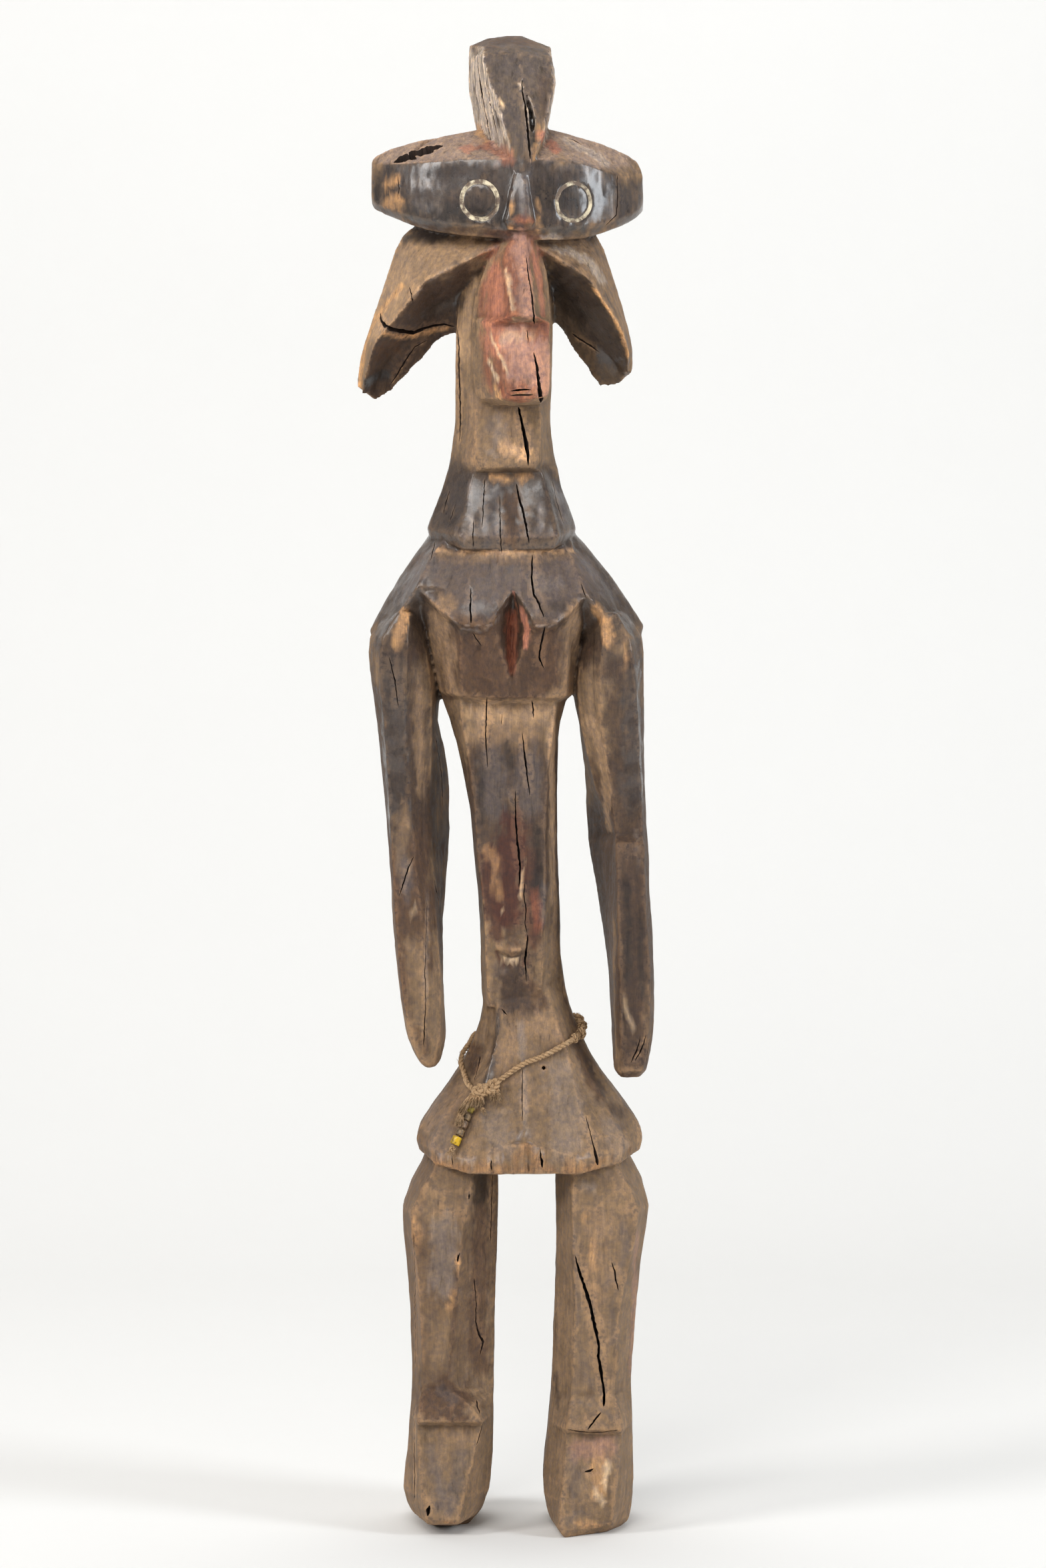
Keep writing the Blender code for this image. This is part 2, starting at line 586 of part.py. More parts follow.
def face():
    """A narrow mask under the visor: a long nose that overhangs, a flat mouth plane and a blunt chin."""
    mask = loft(
        "face",
        [
            [(3, -44, 870), (7, -50, 870), (11, -50, 870), (15, -44, 870), (18, 0, 870), (0, 0, 870)],
            [
                (-11, -39, 856), (-2, -54, 856), (10, -54, 856),
                (19, -40, 856), (21, 0, 856), (-14, 0, 856),
            ],
            [
                (-17.5, -34, 841), (-3, -58, 841), (12, -58, 841),
                (24, -38, 841), (24, 0, 841), (-20, 0, 841),
            ],
            [
                (-23, -31, 825), (-0.5, -62, 825), (14, -62, 825),
                (26.3, -36, 825), (26, 0, 825), (-25, 0, 825),
            ],
            [
                (-25, -29, 811), (1.3, -65.5, 811), (15.2, -65.5, 811),
                (26.8, -38, 811), (26, 0, 811), (-26, 0, 811),
            ],
        ],
        [
            [
                (-25.4, -28, 806.5), (-13, -53, 806.5), (6, -55.5, 806.5),
                (26.4, -53, 806.5), (26, 0, 806.5), (-26, 0, 806.5),
            ],
            [
                (-25.6, -28, 786), (-7, -57, 786), (8, -58.5, 786),
                (26.6, -56, 786), (26, 0, 786), (-26, 0, 786),
            ],
            [
                (-23.6, -30, 763), (-0.5, -62, 763), (10, -62.5, 763),
                (26, -60, 763), (25, 0, 763), (-24, 0, 763),
            ],
        ],
        [
            [
                (-21, -31, 758), (-1, -59.5, 757), (10, -60, 756),
                (25, -57.5, 758.5), (24, 0, 758), (-22, 0, 758),
            ],
            [
                (-14, -27, 754), (-1, -45, 753), (10, -45, 753),
                (20, -42, 754), (20, 0, 754), (-16, 0, 754),
            ],
        ],
    )
    mouth = loft(
        "mouth_slit",
        [
            [(0.5, -70, 762.6), (14.5, -70, 762.6), (14.5, -60.4, 762.6), (0.5, -60.4, 762.6)],
            [(0.5, -70, 765), (14.5, -70, 765), (14.5, -60.4, 765), (0.5, -60.4, 765)],
        ],
    )
    combine(mask, mouth, "DIFFERENCE")
    return mask


# Cuts that the carver and the weather made

def ring_groove():
    """A ring-shaped cutter round the Y axis, which leaves an eye's groove in the visor's face."""
    radius, half = EYE_RING_DIAMETER / 2, EYE_GROOVE_WIDTH / 2
    reach = 20 * THOUSANDTH
    profile = [(radius - half, 0), (radius + half, 0), (radius + half, reach), (radius - half, reach)]
    builder = bmesh.new()
    rings = []
    for k in range(EYE_SIDES):
        angle = math.tau * k / EYE_SIDES
        across, up = math.cos(angle), math.sin(angle)
        rings.append([builder.verts.new((r * across, -y, r * up)) for r, y in profile])
    for k, ring in enumerate(rings):
        following = rings[(k + 1) % EYE_SIDES]
        for i in range(4):
            j = (i + 1) % 4
            builder.faces.new((ring[i], ring[j], following[j], following[i]))
    bmesh.ops.recalc_face_normals(builder, faces=builder.faces)
    return object_from("eye_cut", builder)


def skin_point(figure, x, z):
    """The place where the figure's front is met at x and z thousandths, and the way it faces there."""
    start = Vector((x * THOUSANDTH, -0.2 * HEIGHT, z * THOUSANDTH))
    hit, normal, _, _ = surface_of(figure).ray_cast(start, Vector((0, 1, 0)))
    return hit, normal


def cut_eyes(figure):
    """Two ring grooves, each square to the curved face at its own middle."""
    for x, z in ((-20.0, 887.0), (42.3, 886.4)):
        hit, normal = skin_point(figure, x, z)
        turn = Vector((0, -1, 0)).rotation_difference(normal).to_matrix().to_4x4()
        cutter = ring_groove()
        cutter.data.transform(Matrix.Translation(hit - normal * EYE_GROOVE_DEPTH) @ turn)
        combine(figure, cutter, "DIFFERENCE")


def cut_wounds(figure):
    """The open check in the crest, the split across the visor's crown and the peg hole in the skirt."""
    crest_check = loft(
        "crest_check",
        [
            [(8.6, -70, 962), (10.2, -70, 962), (9.6, -44, 961)],
            [(9.6, -70, 950), (17.5, -70, 950), (12, -36, 950)],
            [(11.5, -70, 938), (18.6, -70, 938), (14, -38, 938)],
            [(12.5, -70, 926), (14.6, -70, 926), (13.6, -50, 926)],
        ],
    )
    combine(figure, crest_check, "DIFFERENCE")
    crown_split = loft(
        "crown_split",
        [
            [(-74, -36, 921), (-73, -29, 928), (-71, -31, 910)],
            [(-64, -27, 934), (-62, -20, 936), (-62, -24, 912)],
            [(-50, -18, 940), (-49, -12, 941), (-49, -15, 918)],
            [(-38, -14, 942), (-37, -12, 942), (-37, -13, 928)],
        ],
    )
    combine(figure, crown_split, "DIFFERENCE")
    builder = bmesh.new()
    bmesh.ops.create_cone(
        builder, cap_ends=True, segments=ROUND_SIDES, depth=2 * PEG_HOLE_DEPTH,
        radius1=PEG_HOLE_DIAMETER / 2, radius2=PEG_HOLE_DIAMETER / 2,
    )
    peg = object_from("peg_cut", builder)
    hit, normal = skin_point(figure, 22.7, 312.8)
    turn = Vector((0, 0, 1)).rotation_difference(normal).to_matrix().to_4x4()
    peg.data.transform(Matrix.Translation(hit) @ turn)
    combine(figure, peg, "DIFFERENCE")


def carve_figure(wood):
    """The figure as one solid, and the surface of its trunk and hips, which the cord lies on."""
    figure = torso()
    figure.name = "figure"
    figure.data.name = "figure"
    combine(figure, hips(), "UNION")
    waist = surface_of(figure)
    left_leg, right_leg = legs()
    left_arm, right_arm = arms()
    left_flap, right_flap = ear_flaps()
    limbs = (
        chest(), yoke(), left_arm, right_arm, left_leg, right_leg,
        neck(), left_flap, right_flap, face(), visor(), brow_nose(), crest(),
    )
    for limb in limbs:
        combine(figure, limb, "UNION")
    cut_eyes(figure)
    cut_wounds(figure)
    figure.data.materials.clear()
    figure.data.materials.append(wood)
    return figure, waist


# The cord, its knot and the bead string

# The cord's way round the hips in thousandths: from the knot to the right, behind and back to the knot.
CORD_ROUTE = [
    (-12.8, -43, 299.6), (-8.7, -41, 303.4), (-5.5, -40.5, 305.9), (-1.1, -40.1, 308.9),
    (4, -39.7, 312.4), (9.1, -39.5, 315.6), (14.7, -39.1, 317.9), (20.5, -37.9, 319.8), (25.5, -36.6, 322.2),
    (30.6, -35.2, 324.8), (35.7, -33.8, 327.5), (42.4, -23.4, 330.6), (46.4, -15, 333), (47.2, -5, 336.5),
    (45.4, 4, 339.5), (42, 15, 341.5), (34, 28, 342.5), (22, 35.5, 341.5), (9, 38, 339.5), (-2, 36.5, 337),
    (-11, 32, 334.5), (-18.5, 25, 332), (-24, 15, 329.5), (-27.4, 5, 326.5), (-29.4, -5, 322.5),
    (-31, -9.5, 318.8), (-32.4, -13.1, 314.4), (-31.4, -17.2, 309.5), (-30.3, -21.8, 305.3),
    (-28.4, -29.7, 301.3), (-25, -36.5, 297.9), (-19.5, -41.5, 296.2),
]
# The bead string's way down the skirt, from the knot.
STRING_ROUTE = [
    (-20, -44, 294.5), (-22.7, -43.5, 291.1), (-24.6, -44, 288),
    (-26.6, -44.5, 285.1), (-29.2, -46, 280.2),
    (-31.2, -47.5, 275.5), (-33.4, -49.5, 270.4), (-36.1, -51, 265),
    (-37.6, -51.7, 261.9), (-38.9, -52.2, 258.6),
]


def smooth_line(points, spacing):
    """Points about a spacing apart on a smooth curve through the given ones."""
    fine = []
    last = len(points) - 1
    for i in range(last):
        a, b, c, d = points[max(i - 1, 0)], points[i], points[i + 1], points[min(i + 2, last)]
        fine += [catmull(a, b, c, d, k / 24) for k in range(24)]
    fine.append(points[-1])
    kept = [fine[0]]
    for point in fine[1:]:
        if (point - kept[-1]).length >= spacing:
            kept.append(point)
    if (kept[-1] - fine[-1]).length > 0.3 * spacing:
        kept.append(fine[-1])
    return kept


def lay_on(surface, route, distance):
    """Each point of the route drawn in to its distance from the carved surface, outside it."""
    laid = []
    for point in route:
        target = Vector(point) * THOUSANDTH
        for _ in range(8):
            near, normal, _, _ = surface.find_nearest(target)
            away = target - near
            outward = away if away.dot(normal) > 0 else -away
            if outward.length < 1e-6:
                outward = normal
            target = near + outward.normalized() * distance
        laid.append(target)
    return laid


def push_clear(surface, line, distance):
    """The line moved out until it stays the distance from the surface, between its points too."""
    cleared = [point.copy() for point in line]
    for _ in range(14):
        moves = [Vector() for _ in cleared]
        for i in range(len(cleared) - 1):
            for k in range(5):
                here = cleared[i].lerp(cleared[i + 1], k / 4)
                near, normal, _, _ = surface.find_nearest(here)
                away = here - near
                inside = away.dot(normal) < 0
                lack = distance + away.length if inside else distance - away.length
                if lack > 0:
                    outward = (-away if inside else away).normalized() * lack
                    for j, share in ((i, 1 - k / 4), (i + 1, k / 4)):
                        if (outward * share).length > moves[j].length:
                            moves[j] = outward * share
        cleared = [point + move for point, move in zip(cleared, moves)]
    return cleared


def outside(body, line, distance):
    """The points of a line that lie outside a body by at least a distance."""
    surface = surface_of(body)
    kept = []
    for point in line:
        near, normal, _, _ = surface.find_nearest(point)
        away = point - near
        if away.dot(normal) > 0 and away.length >= distance:
            kept.append(point)
    return kept


def tube(name, line, diameter, finish):
    """A round cord along a line of points, with closed ends."""
    curve = bpy.data.curves.new(name, "CURVE")
    curve.dimensions = "3D"
    curve.bevel_depth = diameter / 2
    curve.bevel_resolution = CORD_SIDES_RESOLUTION
    curve.use_fill_caps = True
    spline = curve.splines.new("POLY")
    spline.points.add(len(line) - 1)
    for place, point in zip(spline.points, line):
        place.co = (*point, 1.0)
    curve.materials.append(finish)
    made = bpy.data.objects.new(name, curve)
    bpy.context.scene.collection.objects.link(made)
    return made


def knot(centre, along, normal, finish):
    """A lumpy knot, flattened against the skirt."""
    builder = bmesh.new()
    bmesh.ops.create_uvsphere(builder, u_segments=ROUND_SIDES, v_segments=10, radius=0.5)
    for vert in builder.verts:
        vert.co *= 1 + 0.05 * math.sin(9 * vert.co.x / 0.5) * math.cos(3 * vert.co.y / 0.5)
    side = normal.cross(along).normalized()
    axes = Matrix((along * KNOT_LENGTH, side * KNOT_WIDTH, normal * KNOT_DEPTH)).transposed().to_4x4()
    bmesh.ops.transform(builder, matrix=Matrix.Translation(centre) @ axes, verts=builder.verts)
    bmesh.ops.recalc_face_normals(builder, faces=builder.faces)
    return object_from("cord_knot", builder, finish)


def bead(name, centre, direction, diameter, length, finish):
    """A barrel bead with a bore for its string, turned about its own axis."""
    outer, bore, half = diameter / 2, BEAD_BORE / 2, length / 2
    profile = [
        (bore, -half), (outer * 0.84, -half), (outer, -half * 0.45),
        (outer, half * 0.45), (outer * 0.84, half), (bore, half),
    ]
    builder = bmesh.new()
    verts = [builder.verts.new((r, 0, z)) for r, z in profile]
    edges = [builder.edges.new(pair) for pair in zip(verts, verts[1:] + verts[:1])]
    bmesh.ops.spin(
        builder, geom=verts + edges, angle=math.tau, steps=ROUND_SIDES, use_merge=True,
        axis=(0, 0, 1), cent=(0, 0, 0),
    )
    bmesh.ops.remove_doubles(builder, verts=builder.verts, dist=1e-6)
    bmesh.ops.recalc_face_normals(builder, faces=builder.faces)
    turn = Vector((0, 0, 1)).rotation_difference(direction).to_matrix().to_4x4()
    bmesh.ops.transform(builder, matrix=Matrix.Translation(centre) @ turn, verts=builder.verts)
    made = object_from(name, builder, finish)
    made.data.shade_smooth()
    made.data.set_sharp_from_angle(angle=math.radians(35))
    return made


def along_line(line, distance):
    """The place and direction at a distance along a line."""
    for a, b in zip(line, line[1:]):
        step = (b - a).length
        if distance <= step:
            return a.lerp(b, distance / step), (b - a).normalized()
        distance -= step
    return line[-1].copy(), (line[-1] - line[-2]).normalized()


def tie_cord(surface, fibre, glass):
    """The cord round the hips, the knot in front of the right hip and the string of beads under it."""
    hold = CORD_DIAMETER / 2 + CLEARANCE
    route = lay_on(surface, CORD_ROUTE, hold)
    line = push_clear(surface, smooth_line(route, 2 * CORD_DIAMETER), hold + CLEARANCE)
    near, normal, _, _ = surface.find_nearest((line[0] + line[-1]) / 2)
    along = line[0] - line[-1]
    along = (along - along.dot(normal) * normal).normalized()
    tie = knot(near + normal * (KNOT_DEPTH / 2 + 2 * CLEARANCE), along, normal, fibre)
    tube("waist_cord", outside(tie, line, hold), CORD_DIAMETER, fibre)
    bead_hold = BEAD_SIZES[-1][0] / 2 + 2 * CLEARANCE
    hang = smooth_line(lay_on(surface, STRING_ROUTE, bead_hold), 2 * STRING_DIAMETER)
    string = outside(tie, push_clear(surface, hang, bead_hold), STRING_DIAMETER / 2 + CLEARANCE)
    tube("bead_string", string, STRING_DIAMETER, fibre)
    thread_beads(string, glass)


def thread_beads(string, glass):
    """The beads hang end to end, with the largest at the foot of the string."""
    distance = BARE_THREAD
    for number, (diameter, length) in enumerate(BEAD_SIZES, start=1):
        centre, direction = along_line(string, distance + length / 2)
        bead(f"bead_{number}", centre, direction, diameter, length, glass)
        distance += length + BEAD_SPACING


def centre_on_ground(figure):
    """Moves everything so that the figure stands on the origin, in the middle of its own box."""
    corners = [v.co for v in figure.data.vertices]
    low = Vector(min(c[i] for c in corners) for i in range(3))
    high = Vector(max(c[i] for c in corners) for i in range(3))
    shift = Matrix.Translation((-(low.x + high.x) / 2, -(low.y + high.y) / 2, -low.z))
    for thing in bpy.data.objects:
        thing.data.transform(shift)


def main():
    clear_scene()
    wood = material("aged_wood", (0.115, 0.078, 0.052), 0.62)
    fibre = material("plant_fibre", (0.19, 0.12, 0.065), 0.9)
    glass = material("yellow_glass", (0.55, 0.38, 0.06), 0.3)
    figure, waist = carve_figure(wood)
    tie_cord(waist, fibre, glass)
    centre_on_ground(figure)


main()
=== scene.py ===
"""A standing ancestor figure of dark wood, with a fibre cord and a string of beads tied round its hips."""

import math
import random

import bmesh
import bpy
import numpy as np
from bpy.props import FloatProperty, FloatVectorProperty, IntProperty, PointerProperty
from bpy.types import Operator, Panel, PropertyGroup
from mathutils import Matrix, Vector, noise
from mathutils.bvhtree import BVHTree


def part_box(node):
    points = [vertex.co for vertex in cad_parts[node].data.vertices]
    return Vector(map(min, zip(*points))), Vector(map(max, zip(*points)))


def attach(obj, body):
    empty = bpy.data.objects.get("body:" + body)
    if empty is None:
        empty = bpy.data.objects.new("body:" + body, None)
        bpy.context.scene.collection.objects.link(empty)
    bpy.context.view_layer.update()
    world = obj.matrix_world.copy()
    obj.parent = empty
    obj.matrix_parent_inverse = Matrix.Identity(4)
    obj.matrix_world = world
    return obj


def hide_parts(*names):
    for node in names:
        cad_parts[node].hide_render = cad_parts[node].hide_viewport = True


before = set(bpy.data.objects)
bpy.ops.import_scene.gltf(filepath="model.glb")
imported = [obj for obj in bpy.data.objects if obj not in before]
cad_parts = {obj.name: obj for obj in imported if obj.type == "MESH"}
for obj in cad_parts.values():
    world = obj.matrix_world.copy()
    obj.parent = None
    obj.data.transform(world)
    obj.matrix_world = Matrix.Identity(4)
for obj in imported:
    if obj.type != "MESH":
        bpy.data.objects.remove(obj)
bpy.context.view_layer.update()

bl_info = {
    "name": "Ancestor Figure",
    "version": (1, 0, 0),
    "blender": (4, 5, 0),
    "location": "3D View > Sidebar > Figure",
    "description": "Carves and finishes a standing ancestor figure with its hip cord and beads",
    "category": "Object",
}

MM = 0.001

# Tones of the wood: colour, then gloss and weathering from 0 to 1
TONES = {
    "soot": ((0.013, 0.009, 0.008), 0.9, 0.1),
    "patina": ((0.050, 0.035, 0.029), 0.85, 0.1),
    # A lighter purple-grey for the chest's upward-facing top: partly its own colour, partly painted sheen
    "plum_sheen": ((0.128, 0.096, 0.084), 0.50, 0.1),
    "bark": ((0.066, 0.041, 0.030), 0.5, 0.2),
    "umber": ((0.088, 0.050, 0.032), 0.3, 0.2),
    "khaki": ((0.212, 0.143, 0.090), 0.22, 0.1),
    "tan": ((0.262, 0.172, 0.108), 0.2, 0.2),
    "sand": ((0.380, 0.255, 0.160), 0.15, 0.15),
    "ochre": ((0.560, 0.325, 0.160), 0.1, 0.4),
    "peach": ((0.600, 0.375, 0.215), 0.2, 0.3),
    "pale": ((0.700, 0.520, 0.350), 0.2, 0.2),
    "salmon": ((0.330, 0.240, 0.190), 0.15, 0.35),
    "oxide": ((0.260, 0.092, 0.056), 0.4, 0.3),
    "brick": ((0.430, 0.180, 0.118), 0.3, 0.3),
    "wine": ((0.068, 0.024, 0.017), 0.45, 0.2),
    "deep": ((0.150, 0.030, 0.018), 0.3, 0.2),
    "rose": ((0.430, 0.240, 0.185), 0.3, 0.2),
    # A pale grey laid in thin lines along edges and in soft patches on glossy planes: painted highlights and
    # sheen
    "painted_sheen": ((0.290, 0.245, 0.225), 0.75, 0.1),
    # A blue-grey that the wood has in patches, laid in some strokes as painted sheen on the shoulders and the
    # collar's right facet
    "slate_and_sheen": ((0.120, 0.104, 0.106), 0.8, 0.1),
    "ash": ((0.500, 0.430, 0.375), 0.05, 0.7),
    "smoke": ((0.112, 0.087, 0.074), 0.42, 0.3),
    "rim": ((0.250, 0.145, 0.078), 0.05, 0.7),
}
FIRST_TONE = "khaki"

# The insect hole: x, z, diameter and depth, in mm
INSECT_HOLE = (25.7, 312.8, 2.9, 16)

# Tones all round the figure: tone, strength, centre and reach in mm, and the way the wood faces
ZONES = [
    ("patina", 0.85, (0, 0, 640), (140, 90, 85), None),
    # The chest's upward-facing top plane: partly its own purple-grey, partly painted sheen
    ("plum_sheen", 0.9, (0, -38, 640), (66, 40, 36), (0, -0.45, 0.89)),
    ("umber", 0.9, (0, -40, 585), (60, 40, 30), (0, -1, 0)),
    ("tan", 0.7, (-44, -10, 585), (16, 40, 50), (-1, 0, 0)),
    ("tan", 0.6, (44, -10, 585), (16, 40, 50), (1, 0, 0)),
    ("bark", 0.85, (4, 0, 470), (50, 60, 90), None),
    ("bark", 0.9, (-75, 0, 500), (34, 70, 95), None),
    ("bark", 0.9, (84, 0, 440), (30, 70, 160), None),
    ("umber", 0.9, (-70, 0, 410), (30, 60, 80), None),
    ("umber", 0.45, (-45, 0, 180), (40, 60, 140), None),
    ("khaki", 0.8, (0, 0, 770), (44, 60, 80), None),
    ("patina", 0.75, (0, 10, 690), (60, 60, 30), None),
    # The flaps: lighter sand and tan where they face up, partly painted light, and darker bark and soot where
    # they face down, partly painted shade
    ("sand", 0.85, (-55, 0, 840), (60, 60, 60), (-0.35, -0.75, 0.55)),
    ("bark", 0.9, (-55, 0, 800), (60, 60, 60), (0.3, -0.6, -0.75)),
    ("tan", 0.8, (60, 0, 840), (60, 60, 60), (0.35, -0.75, 0.55)),
    ("soot", 0.6, (50, 0, 800), (60, 60, 60), (-0.3, -0.6, -0.75)),
    ("oxide", 0.8, (4, -50, 810), (28, 30, 70), (0, -1, 0)),
    ("patina", 0.95, (0, 0, 888), (120, 80, 28), None),
    ("patina", 0.95, (0, -45, 896), (110, 45, 26), (0, -1, 0.05)),
    ("salmon", 0.9, (0, 0, 925), (120, 80, 26), (0, -0.15, 1)),
    ("smoke", 0.95, (0, -10, 965), (45, 80, 42), None),
    ("ash", 0.95, (0, 0, 955), (45, 80, 50), (-1, 0, 0)),
    ("ash", 0.8, (0, 0, 955), (45, 80, 50), (1, 0, 0)),
    ("ash", 0.6, (0, 20, 955), (45, 80, 50), (0, 1, 0)),
    ("umber", 0.6, (0, 0, 1000), (45, 60, 12), None),
]

